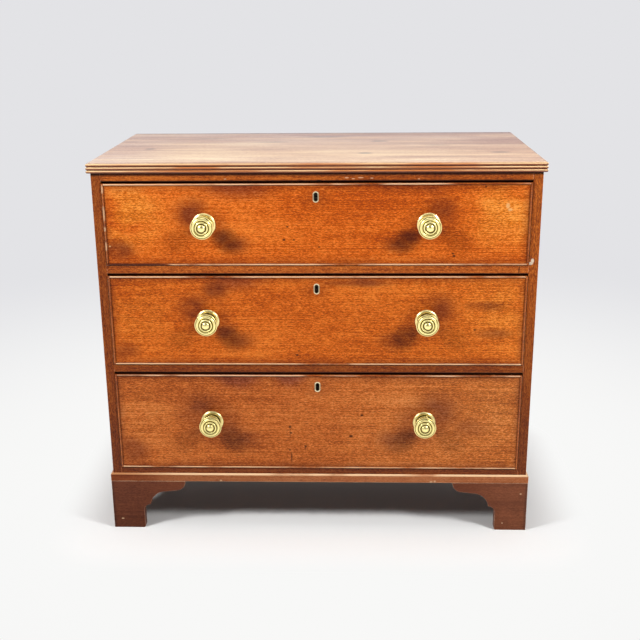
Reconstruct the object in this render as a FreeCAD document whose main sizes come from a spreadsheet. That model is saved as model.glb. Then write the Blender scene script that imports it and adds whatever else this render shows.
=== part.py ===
import FreeCAD, Part
import os
from types import SimpleNamespace

import Sketcher

# A bachelor's chest: three long drawers, each deeper than the one above, in a low mahogany case
# with a reeded top, on four bracket feet. Millimetres, +Z up. The drawer fronts face -Y. The
# origin is on the floor under the middle of the chest, its knobs counted in its depth.

SIZES = {
    # the case, over its boards
    "case_width": 900.0,
    "case_depth": 471.6,          # face of the drawers to the back
    "side_thick": 19.0,
    "foot_lift": 113.5,           # floor to the underside of the case
    # the front, from the bottom up
    "bottom_rail_high": 32.0,
    "opening_high_3": 220.7,
    "opening_high_2": 197.5,
    "opening_high_1": 172.8,
    "divider_thick": 18.0,
    "top_rail_high": 17.0,
    "rail_deep": 60.0,            # front to back, top rail and dividers
    "bottom_rail_thick": 22.0,
    "tenon_long": 8.0,            # stub tenon let into each side
    "tenon_setback": 10.0,        # shoulder that hides the tenon from the front
    # the top board and its reeded edge
    "top_thick": 20.5,
    "top_overhang": 7.2,
    "quirk_deep": 0.6,            # small step where the reeds begin
    "quirk_gap": 1.1,
    # inside the case
    "dust_thick": 8.0,
    "dust_let": 6.0,              # how far the boards are let into the sides
    "dust_groove": 5.0,           # how far they are let into the rails
    "bottom_thick": 12.0,
    "bottom_runner_thick": 5.0,
    "runner_wide": 16.0,
    "kicker_wide": 25.0,
    "rear_rail_deep": 50.0,
    "stop_wide": 30.0,
    "stop_deep": 12.0,
    "stop_high": 5.0,
    "stop_apart": 300.0,          # between the middles of a pair of stops
    "stop_gap": 0.3,
    # the back
    "back_thick": 9.0,
    "rabbet_lip": 9.0,            # what the rabbet leaves of the side
    "board_lap": 8.0,
    # base moulding and bracket feet
    "moulding_high": 18.5,
    "moulding_proud": 5.0,
    "moulding_round": 3.5,
    "foot_proud": 4.6,
    "foot_thick": 19.0,
    "foot_pad": 69.0,             # length that stands on the floor
    "foot_corner": 4.0,
    "foot_ankle": 42.0,           # height where the straight shank ends
    "low_hollow": 15.0,           # radius of the small cavetto
    "hollow_wide": 34.0,          # the long hollow above it
    "hollow_high": 31.0,
    "bracket_long": 163.0,
    "bracket_ovolo": 21.0,
    "ovolo_lip": 1.5,
    "rear_foot_pad": 58.0,
    "rear_foot_long": 128.0,
    "foot_block_wide": 36.0,
    "foot_block_lift": 2.0,
    "glue_block_long": 62.0,
    "glue_block_wide": 16.0,
    # drawers
    "slide_gap": 0.3,             # drawer over its runners
    "drawer_top_gap": 4.0,
    "drawer_side_gap": 1.0,
    "drawer_back_gap": 12.0,
    "front_thick": 22.0,
    "bead_wide": 4.0,
    "bead_proud": 2.8,
    "bead_seat": 7.0,             # depth of the bead's rebate
    "bead_flat": 0.4,
    "lap_web": 2.0,               # wood between the bead's rebate and the dovetails
    "drawer_side_thick": 9.0,
    "drawer_side_drop": 7.0,      # side below the top of the front
    "drawer_back_drop": 5.0,      # back below the top of the sides
    "drawer_bottom_thick": 6.0,
    "drawer_bottom_lift": 7.5,
    "drawer_groove": 4.5,
    "pin_wide": 9.0,              # dovetail pin where it is widest
    "pin_narrow": 5.0,
    # turned brass knobs
    "knob_apart": 454.0,
    "knob_reach": 40.5,           # crown of the knob from the drawer's face
    "rose_radius": 24.0,
    "rose_floor": 1.2,            # thickness of its dished floor
    "rose_rim_wide": 7.0,
    "rose_rim_rise": 2.6,
    "neck_radius": 7.5,
    "neck_long": 18.7,            # rose's floor to the head
    "head_radius": 23.5,
    "head_edge": 2.2,
    "crown_radius": 4.4,
    "dome_radius": 7.8,
    "dome_fall": 3.6,
    "face_fall": 4.7,             # slope from the dome to the edge
    # escutcheons and locks
    "escutcheon_drop": 28.0,      # its middle below the top of the drawer
    "escutcheon_wide": 12.4,
    "escutcheon_high": 22.8,
    "escutcheon_thick": 2.5,
    "key_eye_radius": 3.8,
    "key_eye_rise": 4.7,
    "key_slot_wide": 5.0,
    "key_slot_fall": 8.9,
    "lock_plate_wide": 66.0,
    "lock_plate_high": 50.0,
    "lock_plate_thick": 1.6,
    "lock_case_wide": 56.0,
    "lock_case_high": 45.0,
    "lock_case_deep": 10.4,
    "lock_wall": 1.8,
    "key_swing": 8.0,             # radius that the key's bit sweeps
    "bolt_wide": 22.0,
    "bolt_high": 17.0,
    "bolt_gap": 0.3,
    "bolt_throw": 10.0,
    "strike_gap": 1.0,
}
BACK_BOARD_COUNT = 3
REED_COUNT = 3
TAIL_COUNTS = {1: 3, 2: 4, 3: 4}

DOC = FreeCAD.newDocument("bachelors_chest")
SHEET = DOC.addObject("Spreadsheet::Sheet", "Sizes")
NODES = {}
LEFT = -1
RIGHT = 1


class Size:
    """A length in millimetres, with the expression that gives it on the sheet."""

    def __init__(self, number, text):
        self.number = number
        self.text = text

    def __add__(self, other):
        other = as_size(other)
        return Size(self.number + other.number, "(%s + %s)" % (self.text, other.text))

    def __sub__(self, other):
        other = as_size(other)
        return Size(self.number - other.number, "(%s - %s)" % (self.text, other.text))

    def __mul__(self, other):
        other = as_size(other)
        return Size(self.number * other.number, "%s * %s" % (self.text, other.text))

    def __truediv__(self, other):
        other = as_size(other)
        return Size(self.number / other.number, "%s / %s" % (self.text, other.text))

    def __radd__(self, other):
        return as_size(other) + self

    def __rsub__(self, other):
        return as_size(other) - self

    def __rmul__(self, other):
        return as_size(other) * self

    def __neg__(self):
        return Size(-self.number, "(0 - %s)" % self.text)


def as_size(value):
    """A plain number as a Size; a Size as it is."""
    if isinstance(value, Size):
        return value
    return Size(float(value), "(%r)" % float(value))


def enter_sizes():
    """Enters the driving dimensions on the sheet, one aliased cell each."""
    entered = {}
    for row, (alias, number) in enumerate(SIZES.items(), start=1):
        cell = "A%d" % row
        SHEET.set(cell, str(number))
        SHEET.setAlias(cell, alias)
        entered[alias] = Size(number, "Sizes." + alias)
    DOC.recompute()
    return SimpleNamespace(**entered)


SIZE = enter_sizes()

# Places worked out from the sizes, in the chest's own frame.
HALF_CASE = SIZE.case_width / 2
HALF_OPENING = HALF_CASE - SIZE.side_thick
FRONT = (SIZE.knob_reach - SIZE.case_depth) / 2
BACK = FRONT + SIZE.case_depth
BACK_INSIDE = BACK - SIZE.back_thick
OPENING_3 = SIZE.foot_lift + SIZE.bottom_rail_high
DIVIDER_LOWER = OPENING_3 + SIZE.opening_high_3
OPENING_2 = DIVIDER_LOWER + SIZE.divider_thick
DIVIDER_UPPER = OPENING_2 + SIZE.opening_high_2
OPENING_1 = DIVIDER_UPPER + SIZE.divider_thick
TOP_RAIL = OPENING_1 + SIZE.opening_high_1
TOP_UNDER = TOP_RAIL + SIZE.top_rail_high
RUNNER_THICK = (SIZE.divider_thick - SIZE.dust_thick) / 2
BOTTOM_TOP = OPENING_3 - SIZE.bottom_runner_thick

# Places in a drawer's own frame: X from its middle, Y back from its face, Z from its lower edge.
HALF_DRAWER = HALF_OPENING - SIZE.drawer_side_gap
DRAWER_LONG = SIZE.case_depth - SIZE.back_thick - SIZE.drawer_back_gap
TAIL_LONG = SIZE.front_thick - SIZE.bead_seat - SIZE.lap_web
BOTTOM_UPPER_FACE = SIZE.drawer_bottom_lift + SIZE.drawer_bottom_thick
LOCK_FRONT = SIZE.front_thick - SIZE.lock_plate_thick - SIZE.lock_case_deep
LOCK_ROOM_FRONT = LOCK_FRONT + SIZE.lock_wall
LOCK_ROOM_BACK = SIZE.front_thick - SIZE.lock_plate_thick


# ---- sketches and features -------------------------------------------------------------------

def new_body(label):
    """A PartDesign body with its own label."""
    body = DOC.addObject("PartDesign::Body", label)
    body.Label = label
    return body


def place(item, x=0, y=0, z=0):
    """Ties the item's place to the sheet."""
    for axis, distance in zip("xyz", (x, y, z)):
        item.setExpression("Placement.Base." + axis, as_size(distance).text)


def bind(item, **sizes):
    """Ties the item's lengths to the sheet."""
    for name, size in sizes.items():
        item.setExpression(name, as_size(size).text)


def origin_plane(body, letters):
    """The body's own XY, XZ or YZ plane."""
    for feature in body.Origin.OriginFeatures:
        if feature.Role == letters + "_Plane":
            return feature
    raise ValueError("no plane " + letters)


def new_sketch(body, name, letters, start):
    """An empty sketch on an origin plane of the body, moved along its axis to start."""
    sketch = body.newObject("Sketcher::SketchObject", name)
    sketch.AttachmentSupport = [(origin_plane(body, letters), "")]
    sketch.MapMode = "FlatFace"
    offset = -as_size(start) if letters == "XZ" else as_size(start)
    sketch.setExpression("AttachmentOffset.Base.z", offset.text)
    return sketch


def fix(sketch, geometry, position, across, up):
    """Fixes a point of the sketch by its two distances from the sketch's origin."""
    for kind, distance in (("DistanceX", across), ("DistanceY", up)):
        if distance is None:
            continue
        size = as_size(distance)
        number = sketch.addConstraint(Sketcher.Constraint(kind, -1, 1, geometry, position, size.number))
        name = "%s_%d_%d" % (kind, geometry, position)
        sketch.renameConstraint(number, name)
        sketch.setExpression("Constraints." + name, size.text)


def draw_outline(sketch, points):
    """Draws a closed outline.

    A point is (across, up), reached by a straight line, or (across, up, centre across, centre up,
    turn), reached by an arc: turn is +1 counter-clockwise and -1 clockwise.
    """
    ends = []
    for index, point in enumerate(points):
        before = FreeCAD.Vector(*[as_size(v).number for v in points[index - 1][:2]], 0)
        here = FreeCAD.Vector(*[as_size(v).number for v in point[:2]], 0)
        if len(point) == 2:
            edge = sketch.addGeometry(Part.LineSegment(before, here), False)
            ends.append((edge, 1, 2))
            continue
        centre = FreeCAD.Vector(as_size(point[2]).number, as_size(point[3]).number, 0)
        east = FreeCAD.Vector(1, 0, 0)
        north = FreeCAD.Vector(0, 0, 1)
        start_angle = signed_angle(east, before - centre)
        end_angle = signed_angle(east, here - centre)
        circle = Part.Circle(centre, north, (here - centre).Length)
        if point[4] > 0:
            edge = sketch.addGeometry(Part.ArcOfCircle(circle, start_angle, end_angle), False)
            ends.append((edge, 1, 2))
        else:
            edge = sketch.addGeometry(Part.ArcOfCircle(circle, end_angle, start_angle), False)
            ends.append((edge, 2, 1))
        chord = here - before
        if abs(chord.y) > abs(chord.x):
            fix(sketch, edge, 3, point[2], None)
        else:
            fix(sketch, edge, 3, None, point[3])
    for index, point in enumerate(points):
        edge, _, last = ends[index]
        following, first, _ = ends[(index + 1) % len(points)]
        sketch.addConstraint(Sketcher.Constraint("Coincident", edge, last, following, first))
        fix(sketch, edge, last, point[0], point[1])


def signed_angle(east, spoke):
    """Angle of the spoke, counter-clockwise from east, in radians."""
    angle = east.getAngle(spoke)
    return angle if spoke.y >= 0 else -angle


def draw_circle(sketch, across, up, radius):
    """Draws a circle, its middle and radius tied to the sheet."""
    centre = FreeCAD.Vector(as_size(across).number, as_size(up).number, 0)
    circle = Part.Circle(centre, FreeCAD.Vector(0, 0, 1), as_size(radius).number)
    edge = sketch.addGeometry(circle, False)
    fix(sketch, edge, 3, across, up)
    size = as_size(radius)
    number = sketch.addConstraint(Sketcher.Constraint("Radius", edge, size.number))
    name = "Radius_%d" % edge
    sketch.renameConstraint(number, name)
    sketch.setExpression("Constraints." + name, size.text)


def pad(body, name, letters, points, start, length):
    """Pads an outline along +X, +Y or +Z, from start, and gives the feature."""
    sketch = new_sketch(body, name + "_outline", letters, start)
    draw_outline(sketch, points)
    feature = body.newObject("PartDesign::Pad", name)
    feature.Profile = sketch
    feature.Reversed = letters == "XZ"
    bind(feature, Length=length)
    return feature


def pocket(body, name, letters, draw, start, length):
    """Cuts what draw puts in a sketch along +X, +Y or +Z, from start, and checks that it cuts."""
    DOC.recompute()
    volume = body.Shape.Volume
    sketch = new_sketch(body, name + "_outline", letters, start)
    draw(sketch)
    feature = body.newObject("PartDesign::Pocket", name)
    feature.Profile = sketch
    feature.Reversed = letters != "XZ"
    bind(feature, Length=length)
    DOC.recompute()
    if body.Shape.Volume >= volume:
        raise ValueError(name + " cuts nothing")
    return feature


def add_box(body, kind, name, low, high):
    """A box feature of the body between two corners; kind is Additive or Subtractive."""
    feature = body.newObject("PartDesign::%sBox" % kind, name)
    bind(feature, Length=high[0] - low[0], Width=high[1] - low[1], Height=high[2] - low[2])
    place(feature, *low)
    return feature


def turn(body, name, points):
    """Turns a profile, radius across and Y up, about the body's Y axis."""
    sketch = new_sketch(body, name + "_profile", "XY", 0)
    draw_outline(sketch, points)
    feature = body.newObject("PartDesign::Revolution", name)
    feature.Profile = sketch
    feature.ReferenceAxis = (sketch, ["V_Axis"])
    feature.Angle = 360
    return feature


def mirror(body, name, base):
    """The base feature and its mirror image about the body's YZ plane."""
    feature = body.newObject("PartDesign::Mirrored", name)
    feature.Originals = [base]
    feature.MirrorPlane = (origin_plane(body, "YZ"), [""])
    body.Tip = feature
    return feature


def round_edges(body, name, base, radius, chosen):
    """Fillets those edges of the base feature that chosen picks by their bounding box."""
    DOC.recompute()
    edges = ["Edge%d" % (i + 1) for i, edge in enumerate(base.Shape.Edges) if chosen(edge.BoundBox)]
    feature = body.newObject("PartDesign::Fillet", name)
    feature.Base = (base, edges)
    bind(feature, Radius=radius)
    return feature


def near(value, size):
    """True where a length is the size, to a thousandth of a millimetre."""
    return abs(value - as_size(size).number) < 0.001


def rectangle(left, right, low, high):
    """The four corners of a rectangle."""
    return [(left, low), (right, low), (right, high), (left, high)]


def pill(half_wide, low, high):
    """An upright slot outline with round ends."""
    return [(half_wide, low + half_wide, 0, low + half_wide, 1),
            (half_wide, high - half_wide),
            (-half_wide, high - half_wide, 0, high - half_wide, 1),
            (-half_wide, low + half_wide)]


def board(label, low, high):
    """A plain board between two corners."""
    body = new_body(label)
    outline = rectangle(0, high[0] - low[0], 0, high[1] - low[1])
    pad(body, label + "_pad", "XY", outline, 0, high[2] - low[2])
    place(body, *low)
    return body


def cut(label, base, tools):
    """The base less the tools that are let into it."""
    tool = tools[0]
    if len(tools) > 1:
        tool = DOC.addObject("Part::Compound", label + "_tools")
        tool.Links = tools
    result = DOC.addObject("Part::Cut", label)
    result.Base = base
    result.Tool = tool
    result.Refine = True
    return node(label, result)


def group(label, pieces):
    """Like pieces that share a node."""
    result = DOC.addObject("Part::Compound", label)
    result.Links = pieces
    return node(label, result)


def node(label, item):
    """Names an object as a sub-part of the chest."""
    item.Label = label
    NODES[label] = item
    return item


# ---- the case --------------------------------------------------------------------------------

def front_reeds(radius, top):
    """The reeds down the front edge, from the quirk to the underside."""
    reeds = []
    for index in range(REED_COUNT):
        crown = top - radius * (2 * index)
        reeds.append((radius, crown - radius * 2, radius, crown - radius, 1))
    return reeds


def end_reeds(half_long, radius):
    """The reeds up the right end, from the underside to the quirk."""
    reeds = []
    for index in range(REED_COUNT):
        low = radius * (2 * index)
        reeds.append((half_long - radius, low + radius * 2, half_long - radius, low + radius, 1))
    return reeds


def make_top():
    """The top board: reeds along the front and both ends, mitred at the corners."""
    deep = SIZE.case_depth + SIZE.top_overhang
    half_long = HALF_CASE + SIZE.top_overhang
    shoulder = SIZE.top_thick - SIZE.quirk_deep
    radius = shoulder / (2 * REED_COUNT)
    flat = radius + SIZE.quirk_gap
    along = new_body("top_board_lengthwise")
    section = [(deep, 0), (deep, SIZE.top_thick), (flat, SIZE.top_thick), (flat, shoulder),
               (radius, shoulder)]
    pad(along, "top_section", "YZ", section + front_reeds(radius, shoulder), -half_long, half_long * 2)
    across = new_body("top_board_crosswise")
    half = end_reeds(half_long, radius)
    half += [(half_long - flat, shoulder), (half_long - flat, SIZE.top_thick), (0, SIZE.top_thick), (0, 0),
             (half_long - radius, 0)]
    base = pad(across, "top_half", "XZ", half, 0, deep)
    mirror(across, "top_both_halves", base)
    for body in (along, across):
        place(body, 0, FRONT - SIZE.top_overhang, TOP_UNDER)
    top = DOC.addObject("Part::Common", "top_board")
    top.Base = along
    top.Tool = across
    node("top_board", top)


def tenoned_rail(label, deep, low, thick, y=FRONT):
    """A rail between the sides; its stub tenons stop short of the front."""
    reach = HALF_OPENING + SIZE.tenon_long
    outline = [(-HALF_OPENING, 0), (HALF_OPENING, 0), (HALF_OPENING, SIZE.tenon_setback),
               (reach, SIZE.tenon_setback), (reach, deep), (-reach, deep),
               (-reach, SIZE.tenon_setback), (-HALF_OPENING, SIZE.tenon_setback)]
    body = new_body(label)
    pad(body, label + "_pad", "XY", outline, 0, thick)
    place(body, 0, y, low)
    return body


def strike_mortise(body, label):
    """The socket in a rail's underside that a lock bolt rises into."""
    reach = SIZE.bolt_wide / 2 + SIZE.strike_gap
    low = (-reach, LOCK_ROOM_FRONT + SIZE.bolt_gap - SIZE.strike_gap, 0)
    high = (reach, LOCK_ROOM_BACK - SIZE.bolt_gap + SIZE.strike_gap, SIZE.bolt_throw)
    add_box(body, "Subtractive", label + "_strike", low, high)


def let_in_board(label, y, low, thick):
    """A board let into both sides, from y to the back boards."""
    reach = HALF_OPENING + SIZE.dust_let
    return node(label, board(label, (-reach, y, low), (reach, BACK_INSIDE, low + thick)))


def make_rails_and_boards():
    """Rails, dividers, dust boards and bottom, and the sides that they are let into."""
    top_rail = tenoned_rail("top_rail_front", SIZE.rail_deep, TOP_RAIL, SIZE.top_rail_high)
    strike_mortise(top_rail, "top_rail")
    node("top_rail_front", top_rail)
    rear = tenoned_rail("top_rail_back", SIZE.rear_rail_deep, TOP_RAIL, SIZE.top_rail_high,
                        BACK_INSIDE - SIZE.rear_rail_deep)
    node("top_rail_back", rear)
    let_in = [top_rail, rear]
    for level, low in (("upper", DIVIDER_UPPER), ("lower", DIVIDER_LOWER)):
        blank = tenoned_rail("divider_%s_blank" % level, SIZE.rail_deep, low, SIZE.divider_thick)
        strike_mortise(blank, "divider_" + level)
        groove = FRONT + SIZE.rail_deep - SIZE.dust_groove
        dust = let_in_board("dust_board_" + level, groove, low + RUNNER_THICK, SIZE.dust_thick)
        let_in += [cut("divider_" + level, blank, [dust]), dust]
    blank = tenoned_rail("bottom_rail_blank", SIZE.bottom_rail_thick, SIZE.foot_lift, SIZE.bottom_rail_high)
    groove = FRONT + SIZE.bottom_rail_thick - SIZE.dust_groove
    bottom = let_in_board("bottom_board", groove, BOTTOM_TOP - SIZE.bottom_thick, SIZE.bottom_thick)
    let_in += [cut("bottom_rail", blank, [bottom]), bottom]
    for hand, word in ((LEFT, "left"), (RIGHT, "right")):
        lip = HALF_CASE - SIZE.rabbet_lip
        plan = [(HALF_CASE * hand, 0), (HALF_CASE * hand, SIZE.case_depth), (lip * hand, SIZE.case_depth),
                (lip * hand, SIZE.case_depth - SIZE.back_thick),
                (HALF_OPENING * hand, SIZE.case_depth - SIZE.back_thick), (HALF_OPENING * hand, 0)]
        blank = new_body("side_%s_blank" % word)
        pad(blank, "side_%s_pad" % word, "XY", plan, 0, TOP_UNDER - SIZE.foot_lift)
        place(blank, 0, FRONT, SIZE.foot_lift)
        cut("side_" + word, blank, let_in)


def strip_pair(label, inner, y_low, y_high, z_low, z_high):
    """Two strips along the insides of the sides."""
    strips = []
    for word, low, high in (("left", -HALF_OPENING, -inner), ("right", inner, HALF_OPENING)):
        strips.append(board("%s_%s" % (label, word), (low, y_low, z_low), (high, y_high, z_high)))
    return strips


def make_runners_kickers_stops():
    """What the drawers slide on, what keeps the top one level, and what stops all three."""
    inner = HALF_OPENING - SIZE.runner_wide
    behind_rail = FRONT + SIZE.rail_deep
    behind_front = FRONT + SIZE.front_thick + SIZE.stop_gap
    runners = []
    stops = []
    levels = ((1, behind_rail, OPENING_1, RUNNER_THICK, OPENING_1),
              (2, behind_rail, OPENING_2, RUNNER_THICK, OPENING_2),
              (3, FRONT + SIZE.bottom_rail_thick, OPENING_3, SIZE.bottom_runner_thick, BOTTOM_TOP))
    for number, y_low, level, thick, stop_foot in levels:
        name = "runner_%d" % number
        runners += strip_pair(name, inner, y_low, BACK_INSIDE, level - thick, level)
        for hand, word in ((LEFT, "left"), (RIGHT, "right")):
            middle = SIZE.stop_apart / 2 * hand
            low = (middle - SIZE.stop_wide / 2, behind_front, stop_foot)
            high = (middle + SIZE.stop_wide / 2, behind_front + SIZE.stop_deep, level + SIZE.stop_high)
            stops.append(board("stop_%d_%s" % (number, word), low, high))
    group("drawer_runners", runners)
    group("drawer_stops", stops)
    inner = HALF_OPENING - SIZE.kicker_wide
    group("kickers", strip_pair("kicker", inner, behind_rail, BACK_INSIDE - SIZE.rear_rail_deep,
                                TOP_RAIL, TOP_UNDER))


def make_back():
    """Horizontal back boards in the sides' rabbets, lapped one over the next."""
    half_long = HALF_CASE - SIZE.rabbet_lip
    half_thick = SIZE.back_thick / 2
    high = (TOP_UNDER - SIZE.foot_lift) / BACK_BOARD_COUNT
    boards = []
    for index in range(BACK_BOARD_COUNT):
        outer_low = 0 if index == 0 else -SIZE.board_lap
        outer_high = high if index == BACK_BOARD_COUNT - 1 else high - SIZE.board_lap
        section = [(0, 0), (half_thick, 0), (half_thick, outer_low), (SIZE.back_thick, outer_low),
                   (SIZE.back_thick, outer_high), (half_thick, outer_high), (half_thick, high), (0, high)]
        if index == 0:
            section = section[:1] + section[3:]
        if index == BACK_BOARD_COUNT - 1:
            section = section[:-4] + [(SIZE.back_thick, high), (0, high)]
        name = "back_board_%d" % (index + 1)
        body = new_body(name)
        pad(body, name + "_pad", "YZ", section, -half_long, half_long * 2)
        place(body, 0, BACK_INSIDE, SIZE.foot_lift + high * index)
        boards.append(body)
    group("back_boards", boards)


def make_base_moulding():
    """The strip round the foot of the case, mitred at the front corners."""
    out = SIZE.moulding_proud
    reach = HALF_CASE + out
    front = new_body("base_moulding_front")
    plan = [(-reach, -out), (reach, -out), (HALF_CASE, 0), (-HALF_CASE, 0)]
    base = pad(front, "moulding_front_pad", "XY", plan, 0, SIZE.moulding_high)
    round_edges(front, "moulding_front_nose", base, SIZE.moulding_round,
                lambda box: near(box.ZMin, SIZE.moulding_high) and near(box.YMax, -out))
    place(front, 0, FRONT, SIZE.foot_lift)
    node("base_moulding_front", front)
    for hand, word in ((LEFT, "left"), (RIGHT, "right")):
        name = "base_moulding_" + word
        strip = new_body(name)
        plan = [(0, 0), (out * hand, -out), (out * hand, SIZE.case_depth), (0, SIZE.case_depth)]
        base = pad(strip, name + "_pad", "XY", plan, 0, SIZE.moulding_high)
        outer = out * hand
        round_edges(strip, name + "_nose", base, SIZE.moulding_round,
                    lambda box: near(box.ZMin, SIZE.moulding_high) and near(box.XMin, outer)
                    and near(box.XMax, outer))
        place(strip, HALF_CASE * hand, FRONT, SIZE.foot_lift)
        node(name, strip)


def bracket_outline(hand):
    """The shaped bracket, measured from its outer corner towards the middle of the chest."""
    heel = SIZE.foot_pad + SIZE.low_hollow
    knee = SIZE.foot_ankle + SIZE.low_hollow
    hollow_end = heel + SIZE.hollow_wide
    hollow_top = knee + SIZE.hollow_high
    hollow_radius = (SIZE.hollow_wide * SIZE.hollow_wide + SIZE.hollow_high * SIZE.hollow_high) / 2
    hollow_radius = hollow_radius / SIZE.hollow_high
    ovolo_middle = SIZE.foot_lift - SIZE.ovolo_lip
    shape = [(0, 0),
             (SIZE.foot_pad - SIZE.foot_corner, 0),
             (SIZE.foot_pad, SIZE.foot_corner, SIZE.foot_pad - SIZE.foot_corner, SIZE.foot_corner, 1),
             (SIZE.foot_pad, SIZE.foot_ankle),
             (heel, knee, heel, SIZE.foot_ankle, -1),
             (hollow_end, hollow_top, hollow_end, hollow_top - hollow_radius, -1),
             (SIZE.bracket_long - SIZE.bracket_ovolo, ovolo_middle - SIZE.bracket_ovolo),
             (SIZE.bracket_long, ovolo_middle, SIZE.bracket_long - SIZE.bracket_ovolo, ovolo_middle, 1),
             (SIZE.bracket_long, SIZE.foot_lift),
             (0, SIZE.foot_lift)]
    if hand == RIGHT:
        return shape
    return [(-p[0], p[1]) if len(p) == 2 else (-p[0], p[1], -p[2], p[3], -p[4]) for p in shape]


def make_feet():
    """Bracket feet, mitred at the front corners, with their blocks behind them."""
    outer = HALF_CASE + SIZE.foot_proud
    thick = SIZE.foot_thick
    front_face = FRONT - SIZE.foot_proud
    blocks = []
    rear_brackets = []
    for hand, word in ((LEFT, "left"), (RIGHT, "right")):
        towards = -hand
        front = new_body("foot_bracket_front_" + word)
        pad(front, "bracket_front_%s_pad" % word, "XZ", bracket_outline(towards), 0, thick)
        mitre = [(0, 0), (thick * towards, thick), (0, thick)]
        pocket(front, "bracket_front_%s_mitre" % word, "XY", lambda s: draw_outline(s, mitre),
               0, SIZE.foot_lift)
        place(front, outer * hand, front_face, 0)
        node("foot_bracket_front_" + word, front)

        side = new_body("bracket_side_front_" + word)
        inner_start = 0 if towards > 0 else -thick
        pad(side, "bracket_side_front_%s_pad" % word, "YZ", bracket_outline(RIGHT), inner_start, thick)
        mitre = [(0, 0), (thick * towards, 0), (thick * towards, thick)]
        pocket(side, "bracket_side_%s_mitre" % word, "XY", lambda s: draw_outline(s, mitre),
               0, SIZE.foot_lift)
        place(side, outer * hand, front_face, 0)
        rear = new_body("bracket_side_rear_" + word)
        pad(rear, "bracket_side_rear_%s_pad" % word, "YZ", bracket_outline(LEFT), inner_start, thick)
        place(rear, outer * hand, BACK, 0)
        group("foot_brackets_side_" + word, [side, rear])

        back = new_body("bracket_back_" + word)
        slope = [(0, 0), (SIZE.rear_foot_pad * towards, 0), (SIZE.rear_foot_long * towards, SIZE.foot_lift),
                 (0, SIZE.foot_lift)]
        pad(back, "bracket_back_%s_pad" % word, "XZ", slope, 0, thick)
        inside = (outer - thick) * hand
        place(back, inside, BACK - thick, 0)
        rear_brackets.append(back)
        blocks += make_foot_blocks(word, towards, inside, front_face + thick)
    group("foot_brackets_rear", rear_brackets)
    group("foot_blocks", blocks)


def make_foot_blocks(word, towards, inside, y_front):
    """Upright corner blocks of one side's two feet, and the glue blocks under the case."""
    wide = SIZE.foot_block_wide
    thin = SIZE.glue_block_wide
    lift = SIZE.foot_block_lift
    y_back = BACK - SIZE.foot_thick
    far = inside + wide * towards
    strip_end = far + SIZE.glue_block_long * towards
    strip_low = SIZE.foot_lift - thin
    spans = [("post_front", inside, far, y_front, y_front + wide, lift),
             ("post_back", inside, far, y_back - wide, y_back, lift),
             ("strip_front", far, strip_end, y_front, y_front + thin, strip_low),
             ("strip_back", far, strip_end, y_back - thin, y_back, strip_low)]
    side_edge = inside + thin * towards
    spans += [("strip_side_front", inside, side_edge, y_front + wide,
               y_front + wide + SIZE.glue_block_long, strip_low),
              ("strip_side_back", inside, side_edge, y_back - wide - SIZE.glue_block_long,
               y_back - wide, strip_low)]
    blocks = []
    for name, x_a, x_b, y_low, y_high, z_low in spans:
        x_low, x_high = (x_a, x_b) if towards > 0 else (x_b, x_a)
        blocks.append(board("%s_%s" % (name, word), (x_low, y_low, z_low), (x_high, y_high, SIZE.foot_lift)))
    return blocks


# ---- the drawers -----------------------------------------------------------------------------

def tails(y_root, y_end, z_low, z_high, count):
    """Dovetails upward from z_low to z_high, with a half pin at each end.

    The tails are narrow at y_root and wide at y_end.
    """
    pitch = (z_high - z_low) / count
    wide = SIZE.pin_wide / 2
    narrow = SIZE.pin_narrow / 2
    points = []
    for index in range(count):
        low = z_low + pitch * index
        high = z_low + pitch * (index + 1)
        points += [(y_root, low + wide), (y_end, low + narrow)]
        points += [(y_end, high - narrow), (y_root, high - wide)]
    return points


def make_drawer_side(number, hand, word, high):
    """A drawer side: lapped tails into the front, through tails at the back, and the groove."""
    label = "drawer_side_%s_%d" % (word, number)
    body = new_body(label)
    shoulder = SIZE.front_thick
    back_shoulder = DRAWER_LONG - SIZE.drawer_side_thick
    side_top = high - SIZE.drawer_side_drop
    back_top = side_top - SIZE.drawer_back_drop
    count = TAIL_COUNTS[number]
    outline = [(shoulder, 0), (DRAWER_LONG, 0), (DRAWER_LONG, BOTTOM_UPPER_FACE),
               (back_shoulder, BOTTOM_UPPER_FACE)]
    outline += tails(back_shoulder, DRAWER_LONG, BOTTOM_UPPER_FACE, back_top, count)
    outline += [(back_shoulder, back_top), (DRAWER_LONG, back_top), (DRAWER_LONG, side_top),
                (shoulder, side_top)]
    outline += reversed(tails(shoulder, shoulder - TAIL_LONG, 0, side_top, count))
    thick = SIZE.drawer_side_thick
    start = -HALF_DRAWER if hand == LEFT else HALF_DRAWER - thick
    pad(body, label + "_pad", "YZ", outline, start, thick)
    inner = HALF_DRAWER - thick
    groove_end = inner + SIZE.drawer_groove
    x_low, x_high = (-groove_end, -inner) if hand == LEFT else (inner, groove_end)
    low = (x_low, shoulder - SIZE.drawer_groove, SIZE.drawer_bottom_lift)
    add_box(body, "Subtractive", label + "_groove", low, (x_high, DRAWER_LONG, BOTTOM_UPPER_FACE))
    return node(label, body)


def make_drawer_bottom(number):
    """The drawer's bottom board, in the grooves and under the back."""
    reach = HALF_DRAWER - SIZE.drawer_side_thick + SIZE.drawer_groove
    label = "drawer_bottom_%d" % number
    body = new_body(label)
    outline = rectangle(-reach, reach, SIZE.front_thick - SIZE.drawer_groove, DRAWER_LONG)
    pad(body, label + "_pad", "XY", outline, SIZE.drawer_bottom_lift, SIZE.drawer_bottom_thick)
    return node(label, body)


def make_drawer_back(number, high, sides):
    """The drawer's back: its pins are what the sides' tails leave."""
    label = "drawer_back_%d" % number
    body = new_body(label + "_blank")
    top = high - SIZE.drawer_side_drop - SIZE.drawer_back_drop
    outline = rectangle(-HALF_DRAWER, HALF_DRAWER, BOTTOM_UPPER_FACE, top)
    start = DRAWER_LONG - SIZE.drawer_side_thick
    pad(body, label + "_pad", "XZ", outline, start, SIZE.drawer_side_thick)
    return body, cut(label, body, sides)


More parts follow.
